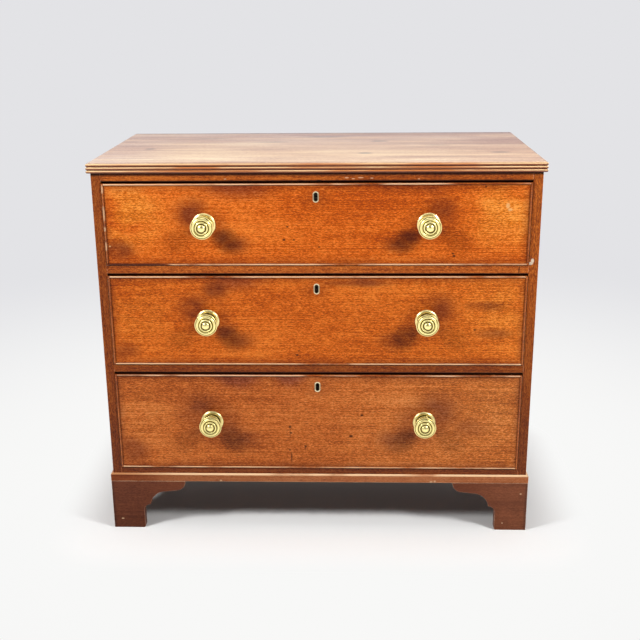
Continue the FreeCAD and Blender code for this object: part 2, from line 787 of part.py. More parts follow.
def draw_keyhole_slot(sketch, high):
    """The slot below the keyhole's eye."""
    middle = high - SIZE.escutcheon_drop
    half_slot = SIZE.key_slot_wide / 2
    low = middle - SIZE.key_slot_fall
    draw_outline(sketch, rectangle(-half_slot, half_slot, low, middle + SIZE.key_eye_rise))


def draw_keyhole_eye(sketch, high):
    """The keyhole's round eye."""
    draw_circle(sketch, 0, high - SIZE.escutcheon_drop + SIZE.key_eye_rise, SIZE.key_eye_radius)


def draw_escutcheon(sketch, high):
    """The outline of the brass thread round the keyhole."""
    middle = high - SIZE.escutcheon_drop
    half_high = SIZE.escutcheon_high / 2
    draw_outline(sketch, pill(SIZE.escutcheon_wide / 2, middle - half_high, middle + half_high))


def make_drawer_front(number, high, let_in):
    """The drawer front, rebated for its bead and cut for the lock and its keyhole."""
    label = "drawer_front_%d" % number
    body = new_body(label + "_blank")
    bead = SIZE.bead_wide
    whole = rectangle(-HALF_DRAWER, HALF_DRAWER, 0, high)
    field = rectangle(bead - HALF_DRAWER, HALF_DRAWER - bead, bead, high - bead)
    pad(body, label + "_whole", "XZ", whole, SIZE.bead_seat, SIZE.front_thick - SIZE.bead_seat)
    pad(body, label + "_field", "XZ", field, 0, SIZE.front_thick)
    pocket(body, label + "_keyhole", "XZ", lambda s: draw_escutcheon(s, high), 0, SIZE.front_thick)
    return body, cut(label, body, let_in)


def make_cock_bead(number, high):
    """The mitred frame of round-nosed bead, let into the edge of the drawer front."""
    label = "cock_bead_%d" % number
    bead = SIZE.bead_wide
    inner = HALF_DRAWER - bead
    proud = SIZE.bead_proud
    deep = SIZE.bead_seat + proud
    body = new_body(label)
    pad(body, label + "_pad", "XZ", rectangle(-HALF_DRAWER, HALF_DRAWER, 0, high), -proud, deep)
    window = rectangle(-inner, inner, bead, high - bead)
    frame = pocket(body, label + "_window", "XZ", lambda s: draw_outline(s, window), -proud, deep)
    round_edges(body, label + "_nose", frame, (bead - SIZE.bead_flat) / 2,
                lambda box: near(box.YMax, -proud))
    return node(label, body)


def knob_profile():
    """The turned knob: domed crown, sloping face, dished back and straight neck."""
    brow = SIZE.knob_reach - SIZE.dome_fall
    edge_front = brow - SIZE.face_fall
    edge_back = edge_front - SIZE.head_edge
    seat = SIZE.rose_floor
    return [(0, -SIZE.knob_reach), (SIZE.crown_radius, -SIZE.knob_reach), (SIZE.dome_radius, -brow),
            (SIZE.head_radius, -edge_front), (SIZE.head_radius, -edge_back),
            (SIZE.neck_radius, -(seat + SIZE.neck_long)), (SIZE.neck_radius, -seat), (0, -seat)]


def rose_profile():
    """The turned back plate under a knob: a raised rim round a dished floor."""
    crest = SIZE.rose_radius - SIZE.rose_rim_wide / 2
    return [(0, 0), (0, -SIZE.rose_floor), (SIZE.rose_radius - SIZE.rose_rim_wide, -SIZE.rose_floor),
            (crest, -(SIZE.rose_floor + SIZE.rose_rim_rise)), (SIZE.rose_radius, 0)]


def make_knobs(number, high):
    """Two knobs and the roses that they stand on."""
    for label, piece, profile in (("knobs", "knob", knob_profile()), ("knob_roses", "rose", rose_profile())):
        pair = []
        for hand, word in ((LEFT, "left"), (RIGHT, "right")):
            name = "%s_%s_%d" % (piece, word, number)
            body = new_body(name)
            turn(body, name + "_turning", profile)
            drawer_place(body, number, SIZE.knob_apart / 2 * hand, high / 2)
            pair.append(body)
        group("%s_%d" % (label, number), pair)


def make_escutcheon(number, high):
    """The brass thread let into the front round the keyhole."""
    label = "escutcheon_%d" % number
    body = new_body(label)
    half_high = SIZE.escutcheon_high / 2
    middle = high - SIZE.escutcheon_drop
    pad(body, label + "_pad", "XZ", pill(SIZE.escutcheon_wide / 2, middle - half_high, middle + half_high),
        0, SIZE.escutcheon_thick)
    pocket(body, label + "_slot", "XZ", lambda s: draw_keyhole_slot(s, high), 0, SIZE.escutcheon_thick)
    pocket(body, label + "_eye", "XZ", lambda s: draw_keyhole_eye(s, high), 0, SIZE.escutcheon_thick)
    return node(label, body)


def make_lock(number, high):
    """The half-mortise lock: its outside, and the room inside for the bolt and the key."""
    label = "lock_%d" % number
    shell = new_body(label + "_shell")
    half_case = SIZE.lock_case_wide / 2
    half_plate = SIZE.lock_plate_wide / 2
    plate = SIZE.lock_plate_thick
    back = SIZE.front_thick
    add_box(shell, "Additive", label + "_case", (-half_case, LOCK_FRONT, high - SIZE.lock_case_high),
            (half_case, back, high))
    add_box(shell, "Additive", label + "_plate", (-half_plate, back - plate, high - SIZE.lock_plate_high),
            (half_plate, back, high))
    add_box(shell, "Additive", label + "_selvedge", (-half_plate, LOCK_FRONT, high - plate),
            (half_plate, back, high))
    room = new_body(label + "_room")
    half_way = SIZE.bolt_wide / 2 + SIZE.bolt_gap
    middle = high - SIZE.escutcheon_drop
    eye = middle + SIZE.key_eye_rise
    way_low = high - SIZE.bolt_high - SIZE.bolt_gap * 2
    add_box(room, "Additive", label + "_bolt_way", (-half_way, LOCK_ROOM_FRONT, way_low),
            (half_way, LOCK_ROOM_BACK, high))
    add_box(room, "Additive", label + "_key_room", (-SIZE.key_swing, LOCK_ROOM_FRONT, eye - SIZE.key_swing),
            (SIZE.key_swing, LOCK_ROOM_BACK, way_low))
    half_slot = SIZE.key_slot_wide / 2
    add_box(room, "Additive", label + "_keyway", (-half_slot, LOCK_FRONT, middle - SIZE.key_slot_fall),
            (half_slot, LOCK_ROOM_FRONT, eye + SIZE.key_eye_radius))
    bolt = new_body("lock_bolt_%d" % number)
    half_bolt = SIZE.bolt_wide / 2
    outline = rectangle(-half_bolt, half_bolt, LOCK_ROOM_FRONT + SIZE.bolt_gap,
                        LOCK_ROOM_BACK - SIZE.bolt_gap)
    bolt_foot = high - SIZE.bolt_gap - SIZE.bolt_high
    pad(bolt, "lock_bolt_%d_pad" % number, "XY", outline, bolt_foot, SIZE.bolt_high)
    node("lock_bolt_%d" % number, bolt)
    return shell, room, bolt, cut(label, shell, [room])


def drawer_place(item, number, x=0, z=0):
    """Puts a piece of a drawer in the case, over its runners."""
    opening = {1: OPENING_1, 2: OPENING_2, 3: OPENING_3}[number]
    place(item, x, FRONT, opening + SIZE.slide_gap + z)


def make_drawer(number, opening_high):
    """One drawer with its bead, knobs, escutcheon and lock."""
    high = opening_high - SIZE.drawer_top_gap - SIZE.slide_gap
    left = make_drawer_side(number, LEFT, "left", high)
    right = make_drawer_side(number, RIGHT, "right", high)
    bottom = make_drawer_bottom(number)
    back_blank, _ = make_drawer_back(number, high, [left, right])
    shell, room, bolt, _ = make_lock(number, high)
    front_blank, _ = make_drawer_front(number, high, [left, right, bottom, shell])
    bead = make_cock_bead(number, high)
    escutcheon = make_escutcheon(number, high)
    for piece in (left, right, bottom, back_blank, front_blank, shell, room, bolt, escutcheon, bead):
        drawer_place(piece, number)
    make_knobs(number, high)


# ---- the whole chest -------------------------------------------------------------------------

def check_and_write():
    """Stops at a failed feature or a bad shape; then writes each sub-part's STEP file."""
    DOC.recompute()
    for item in DOC.Objects:
        if "Invalid" in item.State or "Error" in item.State:
            raise ValueError("%s failed: %s" % (item.Label, item.State))
    for label, item in NODES.items():
        shape = item.Shape
        if shape.isNull() or not shape.isValid() or not shape.Solids:
            raise ValueError(label + " has no valid solid")
    os.makedirs("parts", exist_ok=True)
    for label, item in NODES.items():
        item.Shape.exportStep(os.path.join("parts", label + ".step"))


make_top()
make_rails_and_boards()
make_runners_kickers_stops()
make_back()
make_base_moulding()
make_feet()
make_drawer(1, SIZE.opening_high_1)
make_drawer(2, SIZE.opening_high_2)
make_drawer(3, SIZE.opening_high_3)
check_and_write()
print(len(NODES), "sub-parts written")
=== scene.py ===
import math

import bmesh
import bpy
from mathutils import Matrix, Vector


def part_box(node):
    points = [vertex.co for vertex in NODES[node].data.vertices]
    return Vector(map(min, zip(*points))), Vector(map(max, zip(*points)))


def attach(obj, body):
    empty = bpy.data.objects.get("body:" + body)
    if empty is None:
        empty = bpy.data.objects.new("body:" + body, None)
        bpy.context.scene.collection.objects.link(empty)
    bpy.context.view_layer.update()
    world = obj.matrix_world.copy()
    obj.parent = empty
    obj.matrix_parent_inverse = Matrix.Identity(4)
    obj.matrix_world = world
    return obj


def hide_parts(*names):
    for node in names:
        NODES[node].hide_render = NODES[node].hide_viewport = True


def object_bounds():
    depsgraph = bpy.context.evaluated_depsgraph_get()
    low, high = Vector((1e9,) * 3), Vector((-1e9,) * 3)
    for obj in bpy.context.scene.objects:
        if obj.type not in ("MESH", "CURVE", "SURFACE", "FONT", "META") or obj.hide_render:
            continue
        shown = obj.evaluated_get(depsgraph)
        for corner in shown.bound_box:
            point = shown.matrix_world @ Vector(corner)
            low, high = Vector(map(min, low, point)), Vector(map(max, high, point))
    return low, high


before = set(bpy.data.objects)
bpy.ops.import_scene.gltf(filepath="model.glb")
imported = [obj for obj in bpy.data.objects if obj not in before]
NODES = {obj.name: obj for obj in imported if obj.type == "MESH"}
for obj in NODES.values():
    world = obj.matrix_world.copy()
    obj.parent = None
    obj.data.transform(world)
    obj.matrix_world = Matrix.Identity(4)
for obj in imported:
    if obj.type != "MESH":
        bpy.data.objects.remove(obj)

bl_info = {
    "name": "Bachelor's Chest",
    "version": (1, 0, 0),
    "blender": (4, 5, 0),
    "location": "3D Viewport > Sidebar > Chest",
    "description": "Timbers, turned brass, fastenings and studio of a late Georgian bachelor's chest",
    "category": "Object",
}

MM = 0.001
CAD_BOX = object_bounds()
DRAWERS = (1, 2, 3)

# Short words for the sums that nodes do on numbers and on vectors, and for the other kinds that recur.
NUMBER_SUMS = {"plus": "ADD", "minus": "SUBTRACT", "times": "MULTIPLY", "times_plus": "MULTIPLY_ADD",
               "over": "DIVIDE", "fraction": "FRACT", "size": "ABSOLUTE", "smaller": "MINIMUM",
               "larger": "MAXIMUM"}
VECTOR_SUMS = {"offset": "SUBTRACT", "scaled": "MULTIPLY", "sizes": "ABSOLUTE", "at_least": "MAXIMUM",
               "distance": "LENGTH"}
KINDS = {
    **{word: ("ShaderNodeMath", {"operation": name}) for word, name in NUMBER_SUMS.items()},
    **{word: ("ShaderNodeVectorMath", {"operation": name}) for word, name in VECTOR_SUMS.items()},
    "parts": ("ShaderNodeSeparateXYZ", {}),
    "fade": ("ShaderNodeMapRange", {"interpolation_type": "SMOOTHSTEP"}),
    "blend": ("ShaderNodeMix", {"data_type": "RGBA"}),
}


# ---- colours, lengths and nodes --------------------------------------------------------------

def linear(hex_colour):
    """An sRGB hex colour as linear red, green, blue and alpha."""
    channels = [int(hex_colour[i:i + 2], 16) / 255 for i in (1, 3, 5)]
    curved = [c / 12.92 if c <= 0.04045 else ((c + 0.055) / 1.055) ** 2.4 for c in channels]
    return (*curved, 1.0)


def add(tree, kind, *values, **settings):
    """Adds a node of a Blender type, or of a kind that KINDS lists.

    values go to the sockets in use, in order, or are one dict of them by socket. A node among them
    stands for its first output in use."""
    kind, usual = KINDS.get(kind, (kind, {}))
    node = tree.nodes.new(kind)
    for name, value in {**usual, **settings}.items():
        setattr(node, name, value)
    if values and isinstance(values[0], dict):
        pairs = [(node.inputs[name], value) for name, value in values[0].items()]
    else:
        pairs = zip([socket for socket in node.inputs if socket.enabled], values)
    for socket, value in pairs:
        if isinstance(value, bpy.types.Node):
            value = next(output for output in value.outputs if output.enabled)
        if isinstance(value, bpy.types.NodeSocket):
            tree.links.new(value, socket)
        else:
            socket.default_value = value
    return node


def colour(label, hex_colour, says):
    """A colour that a user would change."""
    return bpy.props.FloatVectorProperty(
        name=label, description=says, subtype="COLOR", size=4, min=0, max=1, default=linear(hex_colour))


def length(label, metres, says):
    """A length that a user would change."""
    return bpy.props.FloatProperty(
        name=label, description=says, unit="LENGTH", subtype="DISTANCE", min=0, precision=4, default=metres)


# ---- places read from the frame ----------------------------------------------------------------

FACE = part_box("drawer_front_1")[0].y
FRONT_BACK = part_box("drawer_front_1")[1].y
KNOB_LOW, KNOB_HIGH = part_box("knobs_1")
HEAD_RADIUS = (KNOB_HIGH.z - KNOB_LOW.z) / 2
KNOB_OUT = KNOB_HIGH.x - HEAD_RADIUS
KNOB_REACH = FACE - KNOB_LOW.y
PAIR_STEP = (2 * KNOB_OUT, 0, 0)
ROSE_RADIUS = (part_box("knob_roses_1")[1].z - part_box("knob_roses_1")[0].z) / 2
BEAD_WIDTH = 4.0 * MM
REEDS = 3
REED_STEP = 0.6 * MM
BOARDS = 3
BOARDS_LOW, BOARDS_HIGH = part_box("back_boards")
BOARD_STEP = (BOARDS_HIGH.z - BOARDS_LOW.z) / BOARDS
BOARD_LAP = 8.0 * MM
# How deep a stain on a face goes.
DEEP = 20 * MM


def middle(node):
    """The middle of a node's box."""
    low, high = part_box(node)
    return (low + high) / 2


# ---- settings a user would change ----------------------------------------------------------------

# Each timber: its pieces, and the colours of its three tones.
TIMBERS = {
    "front_1": ("the top drawer's front", "#9A3A0A", "#DE640F", "#FA8E38"),
    "front_2": ("the middle drawer's front", "#92390C", "#DA6412", "#F68C36"),
    "front_3": ("the bottom drawer's front", "#863E18", "#CC6521", "#EA8E4A"),
    "case": ("the sides and rails", "#6A2A0C", "#A84E14", "#CA7028"),
    "top": ("the sun-faded top", "#AD7F68", "#DAB392", "#F0D6B0"),
    "moulding": ("the base moulding", "#6E3A20", "#A35C34", "#C07C50"),
    "foot": ("the feet", "#4A2416", "#6C3823", "#84492F"),
    "oak": ("the drawer linings", "#8C6238", "#B98A56", "#D8AE7A"),
    "pine": ("the back and dust boards", "#76502C", "#A1794A", "#BE9766"),
}
TONES = {"deep": "Dark streaks", "main": "Main tone", "bright": "Bright streaks"}


def with_tones(group):
    """Gives a property group the three tones of each timber."""
    for wood, (pieces, *hexes) in TIMBERS.items():
        for (tone, says), hex_colour in zip(TONES.items(), hexes):
            label = "%s, %s" % (wood.replace("_", " ").capitalize(), tone)
            group.__annotations__["%s_%s" % (wood, tone)] = colour(label, hex_colour,
                                                                   "%s of %s" % (says, pieces))
    return group


@with_tones
class ChestTimbers(bpy.types.PropertyGroup):
    """Tones of the chest's timbers, from the dark streaks to the bright ones."""

    arris: length("Worn arris", 0.8 * MM, "How far hands and dusters have rounded the edges")


class ChestBrass(bpy.types.PropertyGroup):
    """The turned knobs, their roses and the fastenings."""

    brass_clean: colour("Clean brass", "#FFEFA4", "Brass that polishing reaches")
    brass_tarnished: colour("Tarnished brass", "#5E4A0C", "Brass in the grooves")
    thread: colour("Keyhole thread", "#DCCBA4", "The dull thread of brass round each keyhole")
    iron: colour("Iron", "#4A423B", "Filed iron of the locks, screws and nuts")
    nut_side: length("Nut side", 13.0 * MM, "Width of the square nuts in the drawers")
    nut_thick: length("Nut thickness", 4.0 * MM, "Thickness of the square nuts")
    shank_radius: length("Shank radius", 3.0 * MM, "Radius of the threaded end of a knob")
    shank_tail: length("Shank tail", 3.0 * MM, "How far the threaded end stands out of its nut")
    screw_radius: length("Screw head radius", 3.2 * MM, "Radius of the lock's screw heads")
    nail_side: length("Nail head", 4.5 * MM, "Width of the back boards' nail heads")


class ChestStudio(bpy.types.PropertyGroup):
    """Floor, lamps and camera."""

    floor: colour("Floor", "#F4F4F3", "Paper floor under the chest")
    bounce: colour("Bounce", "#9E9C98", "How much of the lamps' light the floor sends back up")
    near_floor: colour("Near floor", "#F8F8F7", "The same paper beside the chest, past its shadow")
    far_floor: colour("Far floor", "#E3E3E6", "The same paper where the lamps don't reach")
    room: colour("Room", "#5A5A5C", "The dim room before the chest, as its polish shows it")
    world_strength: bpy.props.FloatProperty(
        name="Room light", description="Strength of the even light of the room", min=0, default=0.12)
    lamp_watts: bpy.props.FloatProperty(
        name="Lamp power", description="Power of each large lamp", min=0, default=40.0)
    lens: bpy.props.FloatProperty(
        name="Lens", description="Focal length in millimetres on a 36 mm sensor", min=1, default=56.13)


def tones(woods, wood):
    """A timber's deep, main and bright tones, as the settings have them."""
    return [getattr(woods, "%s_%s" % (wood, tone)) for tone in TONES]


# ---- what finishes share ---------------------------------------------------------------------------

def new_finish(name):
    """An empty material, its node tree and each point's place in metres."""
    material = bpy.data.materials.new(name)
    material.use_nodes = True
    tree = material.node_tree
    tree.nodes.clear()
    return material, tree, add(tree, "ShaderNodeTexCoord").outputs["Object"]


def streaks(tree, lay, along, across, detail=2.0, roughness=0.5, distortion=0.0, start=(0, 0, 0)):
    """Noise whose spots measure along by across metres, lying with the grain."""
    stretched = add(tree, "ShaderNodeMapping",
                    {"Vector": lay, "Location": start, "Scale": (1 / along, 1 / across, 1 / across)})
    return add(tree, "ShaderNodeTexNoise", {"Vector": stretched, "Scale": 1.0, "Detail": detail,
                                            "Roughness": roughness, "Distortion": distortion})


def sum_up(tree, first, *terms):
    """first plus each (value, weight), where a value lies about one half."""
    total = first
    for value, weight in terms:
        total = add(tree, "times_plus", add(tree, "plus", value, -0.5), weight, total)
    return total


def most(tree, shares):
    """The largest of several shares."""
    found = 0.0
    for share in shares:
        found = add(tree, "larger", found, share)
    return found


def washed(tree, tint, *washes):
    """tint with its red, green and blue times each gain where its share is one: the grain still shows."""
    for share, gain in washes:
        tint = add(tree, "blend", share, tint, add(tree, "scaled", tint, gain))
    return tint


def painted(tree, tint, *coats):
    """tint turned to each colour where its share is one, as far as its strength says."""
    for share, strength, hex_colour in coats:
        tint = add(tree, "blend", add(tree, "times", share, strength), tint, linear(hex_colour))
    return tint


def spot(tree, place, centre, radii, core=0.2):
    """One at centre, falling to nought where the ellipse of the three radii ends."""
    shrunk = add(tree, "scaled", add(tree, "offset", place, centre), [1 / r for r in radii])
    return add(tree, "fade", add(tree, "distance", shrunk), core, 1.0, 1.0, 0.0)


def marks(tree, place, table):
    """One on each mark of a face that looks forward: x, height, half width and half height."""
    return most(tree, [spot(tree, place, (x, FACE, z), (wide, DEEP, high), core=0.5)
                       for x, z, wide, high in table])


def rim(tree, place, low, high, reach):
    """One at the edges of the X and Z box from low to high, falling to nought at reach inside it."""
    size = add(tree, "sizes", add(tree, "offset", place, (low + high) / 2))
    inside, _, above = add(tree, "parts", add(tree, "offset", (high - low) / 2, size)).outputs
    return add(tree, "fade", add(tree, "smaller", inside, above), 0.0, reach, 1.0, 0.0)


def between(tree, value, low, high, ease):
    """One where value lies from low to high, each bound reached over the distance ease past it."""
    return add(tree, "times", add(tree, "fade", value, low, low + ease),
               add(tree, "fade", value, high, high + ease, 1.0, 0.0))


# ---- timber ----------------------------------------------------------------------------------------

# Turns the grain's own frame, whose X runs along the board, onto the chest's axes.
GRAIN_TURN = {
    "X": (0, 0, 0),
    "Y": (0, 0, math.radians(90)),
    "Z": (0, math.radians(90), 0),
}
MAHOGANY = {
    "clouds": 0.9,       # strength of the broad clouds of tone
    "cloud": 0.085,      # width of a cloud
    "growth": 1.5,       # of growth rings, cut along the board
    "ring": 2.2 * MM,    # width of a growth ring on the face
    "run": 0.30,         # length of one of its streaks along the board
    "ribbon": 0.35,      # of the ribbon figure
    "speckle": 2.9,      # of the fine broken texture
    "pores": 0.75,       # of the open pores
    "polish": 0.36,      # roughness
    "shine": 0.16,       # how strongly the old polish mirrors: a third of what fresh varnish does
}
# Where the deep, main and bright tones lie on the scale of tone.
TONE_STOPS = (0.10, 0.50, 0.90)


def timber(name, trio, grain, look, stains=None):
    """A board: broad clouds of tone, growth rings, ribbon figure and pores, all lying along its grain.

    trio is deep, main and bright; stains(tree, place, tint) may lay more colour over the wood, painted light
    and shade among it."""
    material, tree, place = new_finish(name)
    lay = add(tree, "ShaderNodeMapping", {"Vector": place, "Rotation": GRAIN_TURN[grain]})
    clouds = streaks(tree, lay, 0.30, look["cloud"], detail=3.0, distortion=0.4, start=(3, 1, 7))
    growth = streaks(tree, lay, look["run"], look["ring"], detail=5.0, roughness=0.65, distortion=0.1)
    ribbon = streaks(tree, lay, 22 * MM, 10 * MM, detail=2.0, start=(5, 9, 2))
    # the texture between the pores, drawn as coarse as an eye two metres off can tell
    speckle = streaks(tree, lay, 5.5 * MM, 1.5 * MM, detail=3.0, roughness=0.85, start=(2, 8, 5))
    # pores are 0.2 mm wide in life; here 1 mm by 10 mm, so that they show across a room
    pores = add(tree, "fade", streaks(tree, lay, 10 * MM, 1.1 * MM, detail=2.0, roughness=0.7), 0.56, 0.68)
    tone = sum_up(tree, 0.5, (clouds, look["clouds"]), (growth, look["growth"]), (ribbon, look["ribbon"]),
                  (speckle, look["speckle"]))
    ramp = add(tree, "ShaderNodeValToRGB", tone)
    stops = ramp.color_ramp.elements
    stops.new(TONE_STOPS[1])
    for stop, position, shade in zip(stops, TONE_STOPS, trio):
        stop.position = position
        stop.color = shade
    tint = add(tree, "blend", add(tree, "times", pores, look["pores"]), ramp, trio[0])
    if stains:
        tint = stains(tree, place, tint)
    rough = sum_up(tree, look["polish"], (growth, 0.12), (clouds, 0.15))
    relief = sum_up(tree, 0.5, (growth, 0.25), (pores, -0.5))
    bump = add(tree, "ShaderNodeBump", {"Strength": 0.5, "Distance": 0.15 * MM, "Height": relief})
    surface = add(tree, "ShaderNodeBsdfPrincipled",
                  {"Base Color": tint, "Roughness": add(tree, "times_plus", pores, 0.12, rough),
                   "Normal": bump, "Specular IOR Level": look["shine"]})
    add(tree, "ShaderNodeOutputMaterial", {"Surface": surface})
    return material


# ---- stains, wear, painted light and shade -----------------------------------------------------------

# Where hands leave grime about a knob (the first row), and where the knob's cast shadow is painted, below it
# and toward the middle (the other two): how far out and up, half length, half height and solid core.
GRASPS_AND_SHADOWS = ((0.024, 0.024, 0.055, 0.050, 0.1), (-0.034, -0.026, 0.045, 0.030, 0.1),
          (-0.062, -0.042, 0.050, 0.030, 0.0))
# How far that grime and painted shadow spread on each front, and what the grime and painted shade leave of
# red, green and blue.
HAND_AND_SHADOW_SPREAD = {1: 1.0, 2: 1.1, 3: 1.35}
GRIME_AND_SHADE = {1: (0.32, 0.27, 0.50), 2: (0.36, 0.30, 0.50), 3: (0.42, 0.36, 0.50)}
# Worm pits and knocks in each drawer's face: x, height and radius in metres.
PITS = {
    1: ((-0.058, 0.680, 0.0022), (-0.065, 0.653, 0.0028), (-0.045, 0.653, 0.0022), (0.006, 0.638, 0.0020),
        (0.279, 0.619, 0.0030), (0.277, 0.624, 0.0022), (0.338, 0.760, 0.0022)),
    2: ((-0.042, 0.406, 0.0030), (-0.038, 0.415, 0.0020), (0.327, 0.462, 0.0026)),
    3: ((0.094, 0.270, 0.0030), (0.071, 0.221, 0.0038), (-0.060, 0.242, 0.0030), (-0.058, 0.228, 0.0026),
        (-0.061, 0.188, 0.0022), (-0.026, 0.197, 0.0022)),
}
# Where old polish has bloomed dark below the upper edge: x, half length and depth in metres.
BLOOMS = {
    1: ((-0.150, 0.125, 0.045), (0.190, 0.100, 0.050)),
    2: ((-0.165, 0.085, 0.045), (0.130, 0.080, 0.035)),
    3: ((-0.170, 0.070, 0.050), (-0.060, 0.050, 0.040)),
}
# Dark mottled patches on each front: x, height, half length, half height and strength.
PATCHES = {
    1: ((-0.406, 0.630, 0.055, 0.036, 0.95), (-0.255, 0.704, 0.040, 0.042, 1.15)),
    2: ((0.080, 0.562, 0.120, 0.013, 0.80), (-0.410, 0.412, 0.055, 0.036, 0.80),
        (0.346, 0.513, 0.060, 0.016, 0.75), (0.364, 0.453, 0.065, 0.016, 0.75),
        (-0.256, 0.508, 0.040, 0.044, 1.20), (-0.210, 0.548, 0.044, 0.030, 1.00)),
    3: ((-0.409, 0.186, 0.060, 0.048, 0.95), (0.325, 0.242, 0.060, 0.034, 0.60),
        (-0.247, 0.282, 0.042, 0.042, 1.00)),
}
# How far the two ends of each front turn paler and gold, and how much more its right half.
GOLD_ENDS = {1: 0.50, 2: 0.20, 3: 0.10}
GOLD_RIGHT = {1: 0.05, 2: 0.16, 3: 0.26}
# Marks on each front: x, height, half width and half height in metres. The top one has bare scuffs,
# the bottom one fine upright cracks.
SCUFFS = ((0.383, 0.722, 0.005, 0.007), (0.388, 0.714, 0.006, 0.004), (-0.421, 0.640, 0.003, 0.002))
CRACKS = ((-0.0600, 0.231, 0.0016, 0.020), (-0.0575, 0.170, 0.0016, 0.016), (-0.0280, 0.194, 0.0016, 0.008))
# Marks on the case: knocks that show bare wood on the moulding, the feet and the top rail, white filler
# beside the top drawer, and a broken splinter under the top rail with the edge of a let-in patch.
CHIPS = (
    (-0.213, 0.116, 0.0035, 0.003), (0.245, 0.116, 0.0040, 0.003), (0.253, 0.117, 0.0030, 0.003),
    (-0.435, 0.022, 0.004, 0.002), (0.403, 0.017, 0.002, 0.002), (0.440, 0.088, 0.003, 0.002),
    (0.062, 0.779, 0.005, 0.0015), (0.075, 0.777, 0.004, 0.0012), (0.090, 0.779, 0.007, 0.0015),
    (0.112, 0.778, 0.004, 0.0012), (0.205, 0.776, 0.003, 0.0012), (-0.180, 0.777, 0.003, 0.0012),
)
FILLER = ((0.4375, 0.6090, 0.004, 0.006), (0.4335, 0.6035, 0.007, 0.004))
BREAKS = ((0.006, 0.7725, 0.009, 0.0035), (0.4115, 0.5900, 0.0013, 0.010))
# Marks on the beads: noses worn bare left of the top drawer, where a highlight is painted too, and one
# stretch below it worn away.
BARE_AND_HIGHLIT_NOSES = ((-0.4285, 0.757, 0.004, 0.011), (-0.4285, 0.708, 0.004, 0.020), (-0.4285, 0.640, 0.004, 0.012),
              (-0.4285, 0.676, 0.004, 0.006))
WORN_AWAY = ((-0.372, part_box("cock_bead_1")[0].z, 0.098, 0.010),)
# Rings and spills on the top: x, y, half length and half width in metres.
SPILLS = ((0.100, -0.091, 0.020, 0.016), (-0.367, -0.016, 0.016, 0.020), (0.382, -0.084, 0.030, 0.014),
          (0.266, 0.029, 0.045, 0.014), (-0.114, 0.092, 0.060, 0.012), (0.136, 0.101, 0.028, 0.018),
          (-0.250, 0.160, 0.070, 0.016), (0.010, 0.180, 0.080, 0.014))
# Knots in the back boards: x, height and radius in metres.
KNOTS = ((-0.310, 0.205, 0.011), (0.120, 0.290, 0.008), (0.350, 0.250, 0.013), (-0.140, 0.470, 0.012),
         (0.240, 0.415, 0.007), (-0.360, 0.640, 0.009), (0.060, 0.700, 0.012), (0.330, 0.735, 0.008))


def front_stains_and_shade(number):
    """Hand marks and painted knob shadows about a drawer's knobs, smudges about its keyhole, grimy edges and
    painted shade beside its bead, dark bloom, golden ends and pits; bare wood inside.
    """
    low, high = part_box("drawer_front_%d" % number)
    knob_z = middle("knobs_%d" % number).z
    key_z = middle("escutcheon_%d" % number).z
    wide = HAND_AND_SHADOW_SPREAD[number]

    def stains(tree, place, tint):
        x, y, z = add(tree, "parts", place).outputs
        folded = add(tree, "ShaderNodeCombineXYZ", add(tree, "size", x), y, z)
        waver = streaks(tree, place, 0.05, 0.035, detail=3.0, start=(number, 2, 4))
        drift = streaks(tree, place, 0.11, 0.07, detail=2.0, start=(number, 5, 1))
        ends = spot(tree, folded, (0.375, FACE, (low.z + high.z) / 2 + 0.02), (0.10, DEEP, 0.10))
        ends = add(tree, "times", ends, add(tree, "fade", waver, 0.25, 0.60))
        ends = add(tree, "times", ends, GOLD_ENDS[number])
        to_right = add(tree, "times", add(tree, "fade", x, -0.10, 0.43), GOLD_RIGHT[number])
        bloom = most(tree, [spot(tree, place, (at, FACE, high.z), (reach, DEEP, depth), core=0.3)
                            for at, reach, depth in BLOOMS[number]])
        bloom = add(tree, "times", bloom, add(tree, "fade", drift, 0.30, 0.55))
        # the first grasp is grime from hands, the other two a painted shadow of the knob; near adds grime and
        # painted shade round the knob
        grasps_and_shadows = [spot(tree, folded, (KNOB_OUT + out, FACE, knob_z + up),
                       (long * wide, DEEP, tall * wide), core)
                  for out, up, long, tall, core in GRASPS_AND_SHADOWS]
        near = spot(tree, folded, (KNOB_OUT, FACE, knob_z), (0.060 * wide, DEEP, 0.050 * wide), core=0.4)
        patches = [add(tree, "times", spot(tree, place, (at, FACE, up), (long, DEEP, tall)), strength)
                   for at, up, long, tall, strength in PATCHES[number]]
        keys = spot(tree, place, (0, FACE, key_z), (0.045, DEEP, 0.035))
        edge = rim(tree, place, low, high, 24 * MM)
        # a narrow dark rim beside the bead: grime there and painted shade in the crease
        corner = rim(tree, place, low, high, 6 * MM)
        dirt_and_shade = most(tree, [*grasps_and_shadows, add(tree, "times", near, 0.6), *patches, add(tree, "times", keys, 0.4),
                           add(tree, "times", edge, 0.7)])
        dirt_and_shade = add(tree, "times", dirt_and_shade, add(tree, "fade", waver, 0.15, 0.65, 0.4))
        dirt_and_shade = add(tree, "larger", dirt_and_shade, add(tree, "times", corner, 0.9))
        worn_with_painted_light = washed(tree, tint, (ends, (1.22, 2.1, 3.0)), (to_right, (1.5, 2.2, 3.0)),
                      (bloom, (0.55, 0.50, 0.95)), (dirt_and_shade, GRIME_AND_SHADE[number]))
        pits = marks(tree, place, [(at, up, 1.4 * radius, radius) for at, up, radius in PITS[number]])
        marked = painted(tree, worn_with_painted_light, (pits, 0.85, "#200A06"))
        if number == 1:
            marked = painted(tree, marked, (marks(tree, place, SCUFFS), 0.6, "#F8C98A"))
        if number == 3:
            broken = add(tree, "fade", waver, 0.30, 0.55, 0.3, 0.8)
            marked = painted(tree, marked, (marks(tree, place, CRACKS), broken, "#3A160C"))
        bare = add(tree, "blend", 0.7, tint, linear("#7E4A28"))
        return add(tree, "blend", add(tree, "fade", y, FACE + DEEP / 4, FACE + DEEP / 2), marked, bare)

    return stains


